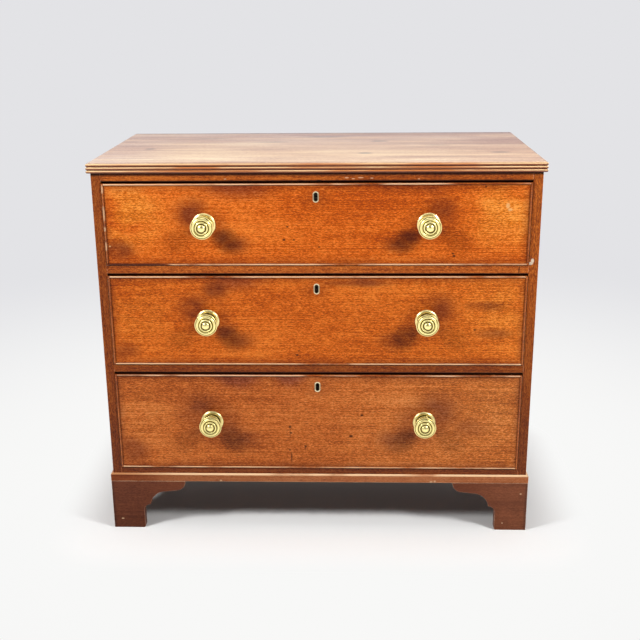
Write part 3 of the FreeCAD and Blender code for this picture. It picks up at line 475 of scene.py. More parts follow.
def nose_wear_and_highlight(tree, place, tint):
    """The pale line along a bead's nose, part duster wear and part painted highlight, strongest on the level
    strips where light from above falls; painted shade darkens the bead's back in the gap.
    """
    x, y, _ = add(tree, "parts", place).outputs
    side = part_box("cock_bead_1")[1].x
    # the nose line is painted brightest on the level strips, as a highlight where light from above falls, and
    # only faintly on the upright ones
    level = add(tree, "fade", add(tree, "size", x), side - BEAD_WIDTH - 1 * MM, side - BEAD_WIDTH, 1.0, 0.08)
    nose = add(tree, "fade", y, FACE - 2.7 * MM, FACE - 2.1 * MM, 1.0, 0.0)
    # painted shade on the bead's back, in the dark gap beside it
    painted_gap_shade = add(tree, "fade", y, FACE - 2.0 * MM, FACE - 1.0 * MM)
    broken = add(tree, "fade", streaks(tree, place, 0.10, 0.05, detail=4.0), 0.30, 0.55)
    worn_away = marks(tree, place, WORN_AWAY)
    kept = painted(tree, tint, (painted_gap_shade, 0.9, "#280E07"), (worn_away, 0.85, "#3A1408"))
    rubbed_with_painted_light = add(tree, "times", add(tree, "times", nose, broken), level)
    rubbed_with_painted_light = add(tree, "times", add(tree, "fade", worn_away, 0.2, 0.6, 1.0, 0.0), rubbed_with_painted_light)
    # pale marks on the left upright bead: wear and a painted highlight
    noses = add(tree, "times", marks(tree, place, BARE_AND_HIGHLIT_NOSES), add(tree, "fade", painted_gap_shade, 0.0, 0.5, 0.6, 0.0))
    return add(tree, "blend", add(tree, "larger", rubbed_with_painted_light, noses), kept, linear("#F4C89C"))


def reeds_with_painted_light(tree, place, tint):
    """Reeds with a painted highlight along their upper halves and the first one's lip, orange below, quirks
    between dark with old soil and painted shade; sawn wood behind.
    """
    low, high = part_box("top_board")
    x, y, z = add(tree, "parts", place).outputs
    sideways = add(tree, "size", x)
    inward = add(tree, "smaller", add(tree, "minus", high.x, sideways), add(tree, "minus", y, low.y))
    start = high.z - REED_STEP
    under = add(tree, "fade", z, start - 0.5 * MM, start, 1.0, 0.0)
    counted = add(tree, "over", add(tree, "minus", start, z), (start - low.z) / REEDS)
    share = add(tree, "fraction", counted)
    # a painted highlight along each reed's upper half, where light from above falls
    upper = add(tree, "times", add(tree, "fade", share, 0.08, 0.20),
                add(tree, "fade", share, 0.36, 0.54, 1.0, 0.0))
    # and on the first reed's lip
    lip = add(tree, "fade", inward, 1 * MM, 3 * MM, 1.0, 0.0)
    first = add(tree, "times", add(tree, "fade", counted, 0.30, 0.50, 1.0, 0.0), lip)
    # the quirks: old soil and painted shade
    quirk = add(tree, "times", add(tree, "fade", inward, 1.0 * MM, 2.2 * MM), under)
    patchy = add(tree, "fade", streaks(tree, place, 0.15, 0.02, detail=3.0), 0.35, 0.65)
    patchy = add(tree, "larger", patchy, add(tree, "fade", sideways, 0.25, 0.45))
    pale = add(tree, "blend", patchy, linear("#D08042"), linear("#F6D09A"))
    rubbed_with_painted_light = add(tree, "larger", add(tree, "times", upper, 0.9), add(tree, "times", first, 0.6))
    edge = add(tree, "blend", rubbed_with_painted_light, painted(tree, tint, (under, 0.9, "#8C4014")), pale)
    grimy = painted(tree, edge, (quirk, 0.95, "#36140A"))
    rear = add(tree, "fade", y, high.y - 1.2 * MM, high.y - 0.4 * MM)
    return add(tree, "blend", rear, grimy, linear("#7A4A2C"))


def knocked(tree, place, tint):
    """Bare wood where the moulding, a foot or the top rail has been knocked."""
    return painted(tree, tint, (marks(tree, place, CHIPS), 0.85, "#E6BE94"))


def top_edge_wear_and_highlight(tree, place, tint):
    """The pale line along the moulding's upper edge, part wear and part painted highlight, its grimy left end
    and its chips.
    """
    x, _, z = add(tree, "parts", place).outputs
    low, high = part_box("base_moulding_front")
    # the pale upper edge: wear and a painted highlight
    upper = add(tree, "fade", z, high.z - 3.6 * MM, high.z - 2.4 * MM)
    broken = add(tree, "fade", streaks(tree, place, 0.12, 0.05, detail=4.0), 0.22, 0.45)
    waxed = washed(tree, tint, (add(tree, "fade", x, -0.25, 0.10), (1.22, 1.25, 1.30)))
    edged = painted(tree, waxed, (add(tree, "times", upper, broken), 0.9, "#F6CFA2"))
    corner = spot(tree, place, (low.x, low.y, high.z), (0.19, 0.05, 0.05), core=0.1)
    return knocked(tree, place, washed(tree, edged, (corner, (0.55, 0.35, 0.24))))


def foot_stains(tree, place, tint):
    """The right foot a little paler than the left, both grimy along their outer edges, and chips."""
    x = add(tree, "parts", place).outputs["X"]
    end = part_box("foot_bracket_front_right")[1].x
    outer = add(tree, "fade", add(tree, "size", x), end - 8 * MM, end - 2 * MM)
    return knocked(tree, place, washed(tree, tint, (add(tree, "fade", x, 0.30, 0.42), (1.40, 1.60, 1.70)),
                                       (add(tree, "times", outer, 0.8), (0.50, 0.55, 0.70))))


def bleached(tree, place, tint):
    """The top, creamy in front and mauve toward its back and ends, with a few faint spills."""
    x, y, _ = add(tree, "parts", place).outputs
    low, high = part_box("top_board")
    drift = streaks(tree, place, 0.16, 0.035, detail=4.0, start=(4, 4, 9))
    patchy = add(tree, "fade", drift, 0.30, 0.62, 0.35, 1.0)
    back = add(tree, "times", add(tree, "fade", y, -0.14, 0.24), patchy)
    left = add(tree, "times", add(tree, "fade", x, -0.45, -0.25, 1.0, 0.0), patchy)
    mauve = add(tree, "larger", back, add(tree, "times", left, 0.8))
    right = add(tree, "times", add(tree, "fade", x, 0.20, 0.42), patchy)
    front = add(tree, "times", add(tree, "fade", y, low.y + 0.03, low.y + 0.12, 1.0, 0.0), patchy)
    spilt = most(tree, [spot(tree, place, (at, away, high.z), (long, wide, DEEP), core=0.3)
                        for at, away, long, wide in SPILLS])
    rear = add(tree, "fade", y, high.y - 16 * MM, high.y - 7 * MM)
    faded = washed(tree, tint, (mauve, (0.76, 0.77, 1.0)), (right, (0.84, 0.74, 0.72)),
                   (front, (1.06, 1.12, 1.18)), (add(tree, "times", spilt, patchy), (0.52, 0.52, 0.62)),
                   (add(tree, "times", rear, 0.8), (0.36, 0.32, 0.40)))
    return reeds_with_painted_light(tree, place, faded)


def case_stains_and_shade(tree, place, tint):
    """Painted shadow under the top where it overhangs, painted shade darkening the wood toward the floor,
    wood darker on the left and paler high on the right, and white filler.
    """
    x, _, z = add(tree, "parts", place).outputs
    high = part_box("top_rail_front")[1].z
    # painted shade: the wood darker toward the floor
    down = add(tree, "fade", z, 0.10, 0.66, 0.70, 0.0)
    left = add(tree, "times", add(tree, "fade", x, -0.435, -0.415, 1.0, 0.0), 0.45)
    right = add(tree, "times", add(tree, "fade", x, 0.425, 0.440), add(tree, "fade", z, 0.45, 0.80))
    # painted shadow under the top where it overhangs
    painted_overhang_shadow = add(tree, "fade", z, high - 9 * MM, high - 1 * MM)
    worn_with_painted_light = washed(tree, tint, (add(tree, "larger", down, left), (0.26, 0.24, 0.80)),
                  (add(tree, "times", right, 0.30), (2.0, 2.8, 4.0)), (painted_overhang_shadow, (0.14, 0.12, 0.30)))
    return add(tree, "blend", marks(tree, place, FILLER), worn_with_painted_light, linear("#E8D2B8"))


def rail_stains_and_light(tree, place, tint):
    """The case's stains and painted shade, with painted shade along each rail's lower edge over a drawer,
    painted light on the upper divider and the top rail, chips and breaks.
    """
    z = add(tree, "parts", place).outputs["Z"]
    edges = []
    # painted shade along each rail's lower edge, deepening the dark gap over a drawer
    for node in ("top_rail_front", "divider_upper", "divider_lower"):
        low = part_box(node)[0].z
        above = add(tree, "fade", z, low + 1.0 * MM, low + 2.4 * MM, 1.0, 0.0)
        edges.append(add(tree, "times", above, add(tree, "fade", z, low - 2 * MM, low - 1 * MM)))
    dirt_and_shade = add(tree, "times", most(tree, edges), 0.9)
    # painted light on the upper divider and the top rail
    divider = spot(tree, place, (0, FACE, middle("divider_upper").z), (0.60, 0.06, 0.05), core=0.6)
    top_rail = add(tree, "fade", z, 0.76, 0.78, 0.0, 0.15)
    painted_light = add(tree, "larger", add(tree, "times", divider, 0.30), top_rail)
    stained = knocked(tree, place, case_stains_and_shade(tree, place, washed(tree, tint, (painted_light, (1.9, 2.2, 3.5)))))
    broken = add(tree, "larger", dirt_and_shade, marks(tree, place, BREAKS))
    return add(tree, "blend", broken, stained, linear("#1C0905"))


def board_stains(tree, place, tint):
    """Back boards of three trees, each of its own tone, with dark joints and knots."""
    z = add(tree, "parts", place).outputs["Z"]
    lower, upper = (BOARDS_LOW.z + count * BOARD_STEP - BOARD_LAP for count in (1, 2))
    second = between(tree, z, lower, upper, 1 * MM)
    knots = most(tree, [spot(tree, place, (x, BOARDS_HIGH.y, up), (1.5 * radius, DEEP, radius), core=0.45)
                        for x, up, radius in KNOTS])
    ringed = add(tree, "fade", streaks(tree, place, 20 * MM, 4 * MM, detail=3.0), 0.25, 0.60)
    return washed(tree, tint, (add(tree, "times", second, 0.5), (0.62, 0.58, 0.52)),
                  (add(tree, "times", knots, ringed), (0.30, 0.24, 0.20)))


# ---- metal -------------------------------------------------------------------------------------------

# How far each drawer's knobs have gone dull.
DULLED = {1: 0.0, 2: 0.06, 3: 0.18}


def packed_dirt(number):
    """Old polish packed round a keyhole, so that only the outer line of its thread is clean."""
    low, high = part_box("escutcheon_%d" % number)
    half_wide = (high.x - low.x) / 2
    straight = (high.z - low.z) / 2 - half_wide

    def dirt_and_shade(tree, place):
        size = add(tree, "sizes", add(tree, "offset", place, (low + high) / 2))
        past = add(tree, "at_least", add(tree, "offset", size, (0, 1, straight)), (0, 0, 0))
        upright = add(tree, "parts", past).outputs["Z"]
        inner = add(tree, "fade", add(tree, "distance", past),
                    half_wide - 2.7 * MM, half_wide - 1.9 * MM, 1.0, 0.0)
        return add(tree, "larger", inner, add(tree, "fade", upright, 0.0, 3 * MM, 0.45, 0.0))

    return dirt_and_shade


def metal_surface(tree, tint, metallic, rough, relief, strength):
    """A metal's shader, with relief 0.05 mm deep."""
    bump = add(tree, "ShaderNodeBump", {"Strength": strength, "Distance": 0.05 * MM, "Height": relief})
    surface = add(tree, "ShaderNodeBsdfPrincipled",
                  {"Base Color": tint, "Metallic": metallic, "Roughness": rough, "Normal": bump})
    add(tree, "ShaderNodeOutputMaterial", {"Surface": surface})


def old_brass(name, clean, tarnished, dulled=0.0, dirt_and_shade=None):
    """Cast or turned brass, bright on its crests; 'tarnish' is one in the grooves, dulled its least share."""
    material, tree, place = new_finish(name)
    grooves = add(tree, "ShaderNodeAttribute", attribute_name="tarnish").outputs["Fac"]
    clouds = streaks(tree, place, 6 * MM, 6 * MM, detail=4.0)
    share = add(tree, "fade", sum_up(tree, grooves, (clouds, 0.5)), 0.30, 1.0)
    share = add(tree, "larger", share, dulled)
    if dirt_and_shade:
        share = add(tree, "larger", share, dirt_and_shade(tree, place))
    tint = add(tree, "blend", share, clean, tarnished)
    metal_surface(tree, tint, 1.0, add(tree, "times_plus", share, 0.20, 0.34), clouds, 0.15)
    return material


def filed_iron(iron):
    """Wrought iron, filed flat and gone dark; brown where damp has reached it."""
    material, tree, place = new_finish("filed_iron_darkened")
    scratches = streaks(tree, place, 20 * MM, 0.6 * MM, detail=2.0)
    damp = add(tree, "fade", streaks(tree, place, 8 * MM, 8 * MM, detail=4.0), 0.5, 0.7)
    tint = painted(tree, iron, (damp, 0.7, "#5B3A24"))
    metal_surface(tree, tint, 0.85, add(tree, "times_plus", damp, 0.25, 0.42), scratches, 0.3)
    return material


# ---- shapes ------------------------------------------------------------------------------------------

def closed_mesh(name, shape):
    """The plain mesh of a finished shape, its faces turned outwards."""
    bmesh.ops.recalc_face_normals(shape, faces=shape.faces)
    mesh = bpy.data.meshes.new(name)
    shape.to_mesh(mesh)
    shape.free()
    return mesh


def bow(start, end, rise, ends, crest, steps=10):
    """Arc from start to end, rise off its chord; tarnish runs from ends to crest. Start is left out."""
    first = Vector(start)
    last = Vector(end)
    chord = last - first
    out = Vector((-chord.y, chord.x)).normalized()
    half = chord.length / 2
    radius = (half ** 2 + rise ** 2) / (2 * abs(rise))
    hub = (first + last) / 2 - out * math.copysign(radius - abs(rise), rise)
    swing = 2 * math.asin(min(1.0, half / radius)) * (-1 if rise > 0 else 1)
    points = []
    for step in range(1, steps + 1):
        share = step / steps
        at = hub + Matrix.Rotation(swing * share, 2) @ (first - hub)
        points.append((at.x, at.y, ends + (crest - ends) * math.sin(math.pi * share)))
    return points


def turned(name, profile, segments=96):
    """A solid turned about Y from (radius, distance out, tarnish) points, first and last on the axis."""
    shape = bmesh.new()
    tarnish = shape.verts.layers.float.new("tarnish")
    rings = []
    for radius, out, dull in profile:
        ring = []
        for index in range(segments if radius > 0 else 1):
            angle = 2 * math.pi * index / segments
            vert = shape.verts.new((radius * math.cos(angle), -out, radius * math.sin(angle)))
            vert[tarnish] = dull
            ring.append(vert)
        rings.append(ring)
    for ring, after in zip(rings, rings[1:]):
        for index in range(segments):
            around = [ring[index % len(ring)], ring[(index + 1) % len(ring)],
                      after[(index + 1) % len(after)], after[index % len(after)]]
            shape.faces.new(list(dict.fromkeys(around)))
    for face in shape.faces:
        face.smooth = True
    return closed_mesh(name, shape)


# A knob from its crown to its neck, in millimetres: each arc's end radius, its fall from the crown and
# its rise, then the tarnish at its ends and at its middle.
KNOB_ARCS = (
    (9.9, 4.9, -0.75, 0.6, 1.2),
    (13.5, 5.8, 1.30, 0.4, -0.3),
    (15.2, 6.8, -0.75, 0.6, 1.2),
    (20.6, 7.9, 1.55, 0.4, -0.3),
    (21.5, 8.7, -0.45, 0.5, 1.3),
    (23.5, 9.8, 0.80, 0.5, 0.1),
    (23.5, 10.5, 0.02, 0.7, 1.0),
    (21.4, 12.0, 0.5, 1.0, 1.2),
    (8.6, 20.2, -2.6, 0.7, 0.5),
    (9.4, 34.6, -1.6, 0.1, 0.1),
    (14.8, 36.6, -0.6, 0.2, 0.0),
    (14.8, 37.8, 0.58, 0.1, 0.0),
)
DOME_RADIUS = 8.4 * MM
DOME_FALL = 4.2 * MM
DOME_STEPS = 8
# A rose from its dish to its rim: each arc's end radius, its distance from the drawer, and as above.
ROSE_ARCS = (
    (11.0, 1.2, 0.2, 1.3, 1.3),
    (15.4, 1.2, 0.01, 1.3, 1.3),
    (17.4, 2.6, -0.45, 1.1, 1.3),
    (23.3, 1.5, 1.45, 0.5, -0.1),
    (24.0, 0.5, 0.2, 0.2, 0.2),
)
DISH_RADIUS = 10.2 * MM
DISH_OUT = 2.0 * MM


def knob_profile():
    """Domed crown, bead, broad torus and edge, hollow back, waisted neck."""
    ball = (DOME_RADIUS ** 2 + DOME_FALL ** 2) / (2 * DOME_FALL)
    points = []
    for step in range(DOME_STEPS + 1):
        share = step / DOME_STEPS
        turn = math.asin(DOME_RADIUS / ball) * share
        points.append((ball * math.sin(turn), KNOB_REACH - ball * (1 - math.cos(turn)), 0.9 * share ** 2))
    for radius, fall, rise, ends, crest in KNOB_ARCS:
        points += bow(points[-1][:2], (radius * MM, KNOB_REACH - fall * MM), rise * MM, ends, crest)
    return [*points, (0.0, points[-1][1], 0.5)]


def rose_profile():
    """A dished plate with a broad rounded rim."""
    points = [(0.0, DISH_OUT, 1.3), (DISH_RADIUS, DISH_OUT, 1.3)]
    for radius, out, rise, ends, crest in ROSE_ARCS:
        points += bow(points[-1][:2], (radius * MM, out * MM), rise * MM, ends, crest)
    return [*points, (ROSE_RADIUS, 0.0, 0.5), (0.0, 0.0, 0.5)]


def closed_slab(shape, outline, low, high, along="Y"):
    """A closed prism from low to high along Y over an X and Z outline, or along X over a Y and Z one."""
    front, back = ([shape.verts.new((u, end, v) if along == "Y" else (end, u, v)) for u, v in outline]
                   for end in (low, high))
    shape.faces.new(front)
    shape.faces.new(back)
    for index in range(len(outline)):
        after = (index + 1) % len(outline)
        shape.faces.new((front[index], front[after], back[after], back[index]))


def arc(radius, start, end, count):
    """count points along a circle, from the angle start to end."""
    angles = [start + (end - start) * index / (count - 1) for index in range(count)]
    return [(radius * math.cos(angle), radius * math.sin(angle)) for angle in angles]


def oblong(wide, high):
    """The four corners of a flat outline about its middle."""
    return [(-wide / 2, -high / 2), (wide / 2, -high / 2), (wide / 2, high / 2), (-wide / 2, high / 2)]


def slotted_head(name, radius, height, slot):
    """A screw head: a disc with two raised halves and a slot between them, facing along Y."""
    shape = bmesh.new()
    floor = 0.2 * height
    closed_slab(shape, arc(radius, 0, 2 * math.pi, 25)[:-1], -height, floor)
    lift = math.asin(slot / 2 / radius)
    for half in (1, -1):
        segment = arc(0.98 * radius, lift, math.pi - lift, 13)
        closed_slab(shape, [(x, half * z) for x, z in segment], floor, height)
    return closed_mesh(name, shape)


def square_nut(name, side, thick, shank, tail):
    """A chamfered square nut with the threaded end of the knob's shank standing out of it."""
    shape = bmesh.new()
    chamfer = 0.5 * MM
    closed_slab(shape, oblong(side, side), 0.0, thick)
    bmesh.ops.bevel(shape, geom=list(shape.edges), offset=chamfer, segments=2, affect="EDGES", profile=0.6)
    pitch = 0.8 * MM
    root = shank - 0.35 * MM
    tip = thick + tail
    rings = [(0.0, thick - chamfer), (shank, thick - chamfer)]
    at = thick
    while at < tip - pitch / 2:
        rings += [(shank, at), (root, at + pitch / 2)]
        at += pitch
    rings += [(0.8 * shank, tip), (0.0, tip)]
    screw = turned(name + "_thread", [(radius, -out, 0.0) for radius, out in rings], segments=24)
    shape.from_mesh(screw)
    bpy.data.meshes.remove(screw)
    return closed_mesh(name, shape)


def lapped_boards(name):
    """The back boards, lapped with shrunk open joints, their outer arrises planed off."""
    inside = BOARDS_LOW.y
    halfway = (BOARDS_LOW.y + BOARDS_HIGH.y) / 2
    outside = BOARDS_HIGH.y - 0.3 * MM
    ease = 2.0 * MM
    shrunk = 0.8 * MM
    shape = bmesh.new()
    for index in range(BOARDS):
        foot = BOARDS_LOW.z + BOARD_STEP * index
        head = foot + BOARD_STEP
        lower = foot - (BOARD_LAP if index else 0.0)
        upper = head - (BOARD_LAP + shrunk if index < BOARDS - 1 else 0.0)
        section = [(inside, foot), (halfway, foot), (halfway, lower), (outside - ease, lower),
                   (outside, lower + ease), (outside, upper - ease), (outside - ease, upper),
                   (halfway, upper), (halfway, head), (inside, head)]
        closed_slab(shape, list(dict.fromkeys(section)), BOARDS_LOW.x, BOARDS_HIGH.x, along="X")
    return closed_mesh(name, shape)


def cut_nail(name, side):
    """The hammered head of a cut nail, standing a hair proud of the board, facing along Y."""
    shape = bmesh.new()
    closed_slab(shape, oblong(side, 0.8 * side), -1.5 * MM, -0.05 * MM)
    bmesh.ops.bevel(shape, geom=list(shape.edges), offset=0.2 * MM, segments=1, affect="EDGES", profile=0.5)
    return closed_mesh(name, shape)


# ---- geometry nodes ------------------------------------------------------------------------------------

def ranks_tree():
    """Geometry nodes that set a pattern piece out in ranks, each turned a little about Y."""
    tree = bpy.data.node_groups.get("ranks_of_pieces")
    if tree:
        return tree
    tree = bpy.data.node_groups.new("ranks_of_pieces", "GeometryNodeTree")
    for label, kind in (("Piece", "Object"), ("First", "Vector"), ("Across count", "Int"),
                        ("Across step", "Vector"), ("Up count", "Int"), ("Up step", "Vector"),
                        ("Turn", "Float"), ("Seed", "Int"), ("Finish", "Material")):
        tree.interface.new_socket(label, in_out="INPUT", socket_type="NodeSocket" + kind)
    tree.interface.new_socket("Pieces", in_out="OUTPUT", socket_type="NodeSocketGeometry")
    given = add(tree, "NodeGroupInput").outputs
    across = add(tree, "GeometryNodeMeshLine",
                 {"Count": given["Across count"], "Start Location": given["First"],
                  "Offset": given["Across step"]})
    up = add(tree, "GeometryNodeMeshLine", {"Count": given["Up count"], "Offset": given["Up step"]})
    grid = add(tree, "GeometryNodeInstanceOnPoints", {"Points": across, "Instance": up})
    places = add(tree, "GeometryNodeRealizeInstances", {0: grid})
    piece = add(tree, "GeometryNodeObjectInfo", {"Object": given["Piece"]}).outputs["Geometry"]
    angle = add(tree, "FunctionNodeRandomValue",
                {2: add(tree, "times", given["Turn"], -1.0), 3: given["Turn"], "Seed": given["Seed"]},
                data_type="FLOAT")
    turn = add(tree, "ShaderNodeCombineXYZ", {"Y": angle})
    pieces = add(tree, "GeometryNodeInstanceOnPoints",
                 {"Points": places, "Instance": piece, "Rotation": turn})
    real = add(tree, "GeometryNodeRealizeInstances", {0: pieces})
    dressed = add(tree, "GeometryNodeSetMaterial", {"Geometry": real, "Material": given["Finish"]})
    add(tree, "NodeGroupOutput", {"Pieces": dressed})
    return tree


def give(modifier, values):
    """Sets a geometry nodes modifier's inputs by their sockets' identifiers."""
    for item in modifier.node_group.interface.items_tree:
        if item.in_out == "INPUT" and item.name in values:
            modifier[item.identifier] = values[item.name]


def ranks(name, pattern, finish, first, across, up=(1, (0, 0, 0)), turn=0.0, seed=1):
    """A plain mesh of like pieces in ranks; across and up give a count and a step."""
    collection = bpy.context.scene.collection
    model = bpy.data.objects.new(name + "_pattern", pattern)
    holder = bpy.data.objects.new(name + "_holder", bpy.data.meshes.new(name + "_holder"))
    for item in (model, holder):
        collection.objects.link(item)
    modifier = holder.modifiers.new("ranks", "NODES")
    modifier.node_group = ranks_tree()
    give(modifier, {"Piece": model, "First": first, "Across count": across[0], "Across step": across[1],
                    "Up count": up[0], "Up step": up[1], "Turn": turn, "Seed": seed, "Finish": finish})
    bpy.context.view_layer.update()
    ready = holder.evaluated_get(bpy.context.evaluated_depsgraph_get())
    mesh = bpy.data.meshes.new_from_object(ready)
    mesh.name = name
    piece = bpy.data.objects.new(name, mesh)
    collection.objects.link(piece)
    for spare in (holder, model):
        bpy.data.objects.remove(spare)
    return piece


def skin_tree():
    """Geometry nodes that join a board's loose faces, so that its arrises can be eased."""
    tree = bpy.data.node_groups.get("joined_skin")
    if tree:
        return tree
    tree = bpy.data.node_groups.new("joined_skin", "GeometryNodeTree")
    tree.interface.new_socket("Board", in_out="INPUT", socket_type="NodeSocketGeometry")
    tree.interface.new_socket("Join distance", in_out="INPUT", socket_type="NodeSocketFloat")
    tree.interface.new_socket("Board", in_out="OUTPUT", socket_type="NodeSocketGeometry")
    given = add(tree, "NodeGroupInput").outputs
    joined = add(tree, "GeometryNodeMergeByDistance",
                 {"Geometry": given["Board"], "Distance": given["Join distance"]})
    plain = add(tree, "GeometryNodeRemoveAttribute", {"Geometry": joined, "Name": "custom_normal"})
    add(tree, "NodeGroupOutput", {"Board": add(tree, "GeometryNodeSetShadeSmooth", {"Geometry": plain})})
    return tree


def ease_arrises(node, width, rubbed_with_painted_light=None):
    """Rounds a board's sharp edges by width, as handling does; the last argument is the finish of the
    rounding, paler from wear and from a painted highlight.
    """
    board = NODES[node]
    skin = board.modifiers.new("skin", "NODES")
    skin.node_group = skin_tree()
    give(skin, {"Join distance": 0.005 * MM})
    flat = board.modifiers.new("flat_faces", "DECIMATE")
    flat.decimate_type = "DISSOLVE"
    flat.angle_limit = math.radians(0.5)
    eased = board.modifiers.new("eased_arrises", "BEVEL")
    eased.width = width
    eased.segments = 2
    eased.limit_method = "ANGLE"
    eased.angle_limit = math.radians(35)
    if rubbed_with_painted_light:
        board.data.materials.append(rubbed_with_painted_light)
        eased.material = 1
    shading = board.modifiers.new("even_shading", "WEIGHTED_NORMAL")
    shading.weight = 100


def dress(material, *nodes):
    """Gives nodes their finish."""
    for node in nodes:
        NODES[node].material_slots[0].material = material


# ---- operators -------------------------------------------------------------------------------------------

class ChestOperator:
    """What the chest's operators share."""

    bl_options = {"REGISTER", "UNDO"}


class CHEST_OT_top(ChestOperator, bpy.types.Operator):
    """Finish the sun-faded top board"""

    bl_idname = "chest.top"
    bl_label = "Top Board"

    def execute(self, context):
        woods = context.scene.chest_timbers
        # mahogany bleached by sun and washed, waxed over: pale, low in contrast, satin
        look = {**MAHOGANY, "clouds": 1.5, "cloud": 0.05, "growth": 2.6, "ring": 6 * MM, "run": 0.60,
                "speckle": 1.8, "pores": 0.35, "shine": 0.5}
        dress(timber("mahogany_sun_faded_waxed", tones(woods, "top"), "X", look, bleached), "top_board")
        ease_arrises("top_board", woods.arris / 2)
        return {"FINISHED"}


class CHEST_OT_case(ChestOperator, bpy.types.Operator):
    """Finish the sides, rails and dividers"""

    bl_idname = "chest.case"
    bl_label = "Case"

    def execute(self, context):
        woods = context.scene.chest_timbers
        waxed = tones(woods, "case")
        worn_with_painted_light = (woods.case_main, woods.case_bright, woods.top_main)
        # solid mahogany, waxed for two centuries: upright grain in the sides, level grain in the rails
        upright = timber("mahogany_waxed_upright", waxed, "Z", MAHOGANY, case_stains_and_shade)
        level = timber("mahogany_waxed_level", waxed, "X", MAHOGANY, rail_stains_and_light)
        # the same, paler where dusters rub its edges and where a highlight is painted on each eased arris
        highlit_rubbed_upright = timber("mahogany_rubbed_upright", worn_with_painted_light, "Z", MAHOGANY)
        highlit_rubbed_level = timber("mahogany_rubbed_level", worn_with_painted_light, "X", MAHOGANY, rail_stains_and_light)
        for wood, rubbed_with_painted_light, nodes in (
                (upright, highlit_rubbed_upright, ("side_left", "side_right")),
                (level, highlit_rubbed_level, ("top_rail_front", "divider_upper", "divider_lower", "bottom_rail"))):
            dress(wood, *nodes)
            for node in nodes:
                ease_arrises(node, woods.arris / 2, rubbed_with_painted_light)
        return {"FINISHED"}


class CHEST_OT_base(ChestOperator, bpy.types.Operator):
    """Finish the base moulding and bracket feet"""

    bl_idname = "chest.base"
    bl_label = "Moulding and Feet"

    def execute(self, context):
        woods = context.scene.chest_timbers
        # mahogany darkened by floor wax and knocks
        look = {**MAHOGANY, "speckle": 1.3, "growth": 0.8, "polish": 0.42}
        level = timber("mahogany_foot_dark_wax", tones(woods, "foot"), "X", look, foot_stains)
        deep = timber("mahogany_foot_dark_wax_deep", tones(woods, "foot"), "Y", look)
        # the feet's eased arrises: paler from wear and from a painted highlight
        bare = (woods.foot_bright, woods.top_deep, woods.top_main)
        rubbed_with_painted_light = timber("mahogany_foot_rubbed", bare, "X", look)
        # the moulding above them, paler, with its upper edge worn to bare wood and given a painted highlight
        waxed = tones(woods, "moulding")
        strip = timber("mahogany_moulding_waxed", waxed, "X", look, top_edge_wear_and_highlight)
        strip_deep = timber("mahogany_moulding_waxed_deep", waxed, "Y", look, top_edge_wear_and_highlight)
        # the moulding's eased arrises: paler from wear and from a painted highlight
        bare = (woods.case_bright, woods.top_main, woods.top_bright)
        worn_with_painted_light = timber("mahogany_moulding_rubbed", bare, "X", look)
        for wood, edge, nodes in (
                (strip, worn_with_painted_light, ("base_moulding_front",)),
                (strip_deep, worn_with_painted_light, ("base_moulding_left", "base_moulding_right")),
                (level, rubbed_with_painted_light, ("foot_bracket_front_left", "foot_bracket_front_right")),
                (deep, rubbed_with_painted_light, ("foot_brackets_side_left", "foot_brackets_side_right"))):
            dress(wood, *nodes)
            for node in nodes:
                ease_arrises(node, woods.arris, edge)
        return {"FINISHED"}


class CHEST_OT_carcase_pine(ChestOperator, bpy.types.Operator):
    """Finish the pine back, dust boards, runners and blocks"""

    bl_idname = "chest.carcase_pine"
    bl_label = "Pine Carcase Parts"

    def execute(self, context):
        woods = context.scene.chest_timbers
        bare = tones(woods, "pine")
        # deal that never had a finish, browned by air
        look = {**MAHOGANY, "growth": 2.6, "ring": 7 * MM, "run": 0.45, "ribbon": 0.2, "speckle": 0.9,
                "pores": 0.10, "polish": 0.78}
        across = timber("pine_bare_browned", bare, "X", look)
        boards = timber("pine_back_boards_browned", bare, "X", look, board_stains)
        deep = timber("pine_bare_browned_deep", bare, "Y", look)
        # the same after two centuries over swept floors
        dusty = (woods.foot_deep, woods.foot_main, woods.pine_deep)
        dress(timber("pine_bare_dusty_blocks", dusty, "Z", look), "foot_blocks")
        dress(timber("pine_bare_dusty_underside", dusty, "X", look), "bottom_board")
        dress(across, "top_rail_back", "dust_board_upper", "dust_board_lower", "drawer_stops",
              "foot_brackets_rear")
        dress(deep, "drawer_runners", "kickers")
        backing = bpy.data.objects.new("lapped_back_boards", lapped_boards("lapped_back_boards"))
        backing.data.materials.append(boards)
        context.scene.collection.objects.link(backing)
        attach(backing, "carcass")
        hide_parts("back_boards")
        return {"FINISHED"}


class CHEST_OT_drawers(ChestOperator, bpy.types.Operator):
    """Finish the drawer fronts, cock beads and oak linings"""

    bl_idname = "chest.drawers"
    bl_label = "Drawers"

    def execute(self, context):
        woods = context.scene.chest_timbers
        # bare oak, rubbed smooth by use
        look = {**MAHOGANY, "ring": 5 * MM, "growth": 1.6, "speckle": 1.2, "pores": 0.6, "polish": 0.68}
        deep = timber("oak_bare_deep", tones(woods, "oak"), "Y", look)
        across = timber("oak_bare_across", tones(woods, "oak"), "X", look)
        # thin mahogany strip, bright on its nose where dusters rub it and where a highlight is painted,
        # darkened by painted shade in the gap behind its nose
        look = {**MAHOGANY, "polish": 0.34, "shine": 0.25}
        bead = timber("mahogany_bead_polished", tones(woods, "case"), "X", look, nose_wear_and_highlight)
        for number in DRAWERS:
            # straight-grained mahogany under old French polish and wax
            front = timber("mahogany_front_polished_%d" % number, tones(woods, "front_%d" % number), "X",
                           MAHOGANY, front_stains_and_shade(number))
            dress(front, "drawer_front_%d" % number)
            dress(bead, "cock_bead_%d" % number)
            dress(deep, "drawer_side_left_%d" % number, "drawer_side_right_%d" % number)
            dress(across, "drawer_back_%d" % number, "drawer_bottom_%d" % number)
        return {"FINISHED"}


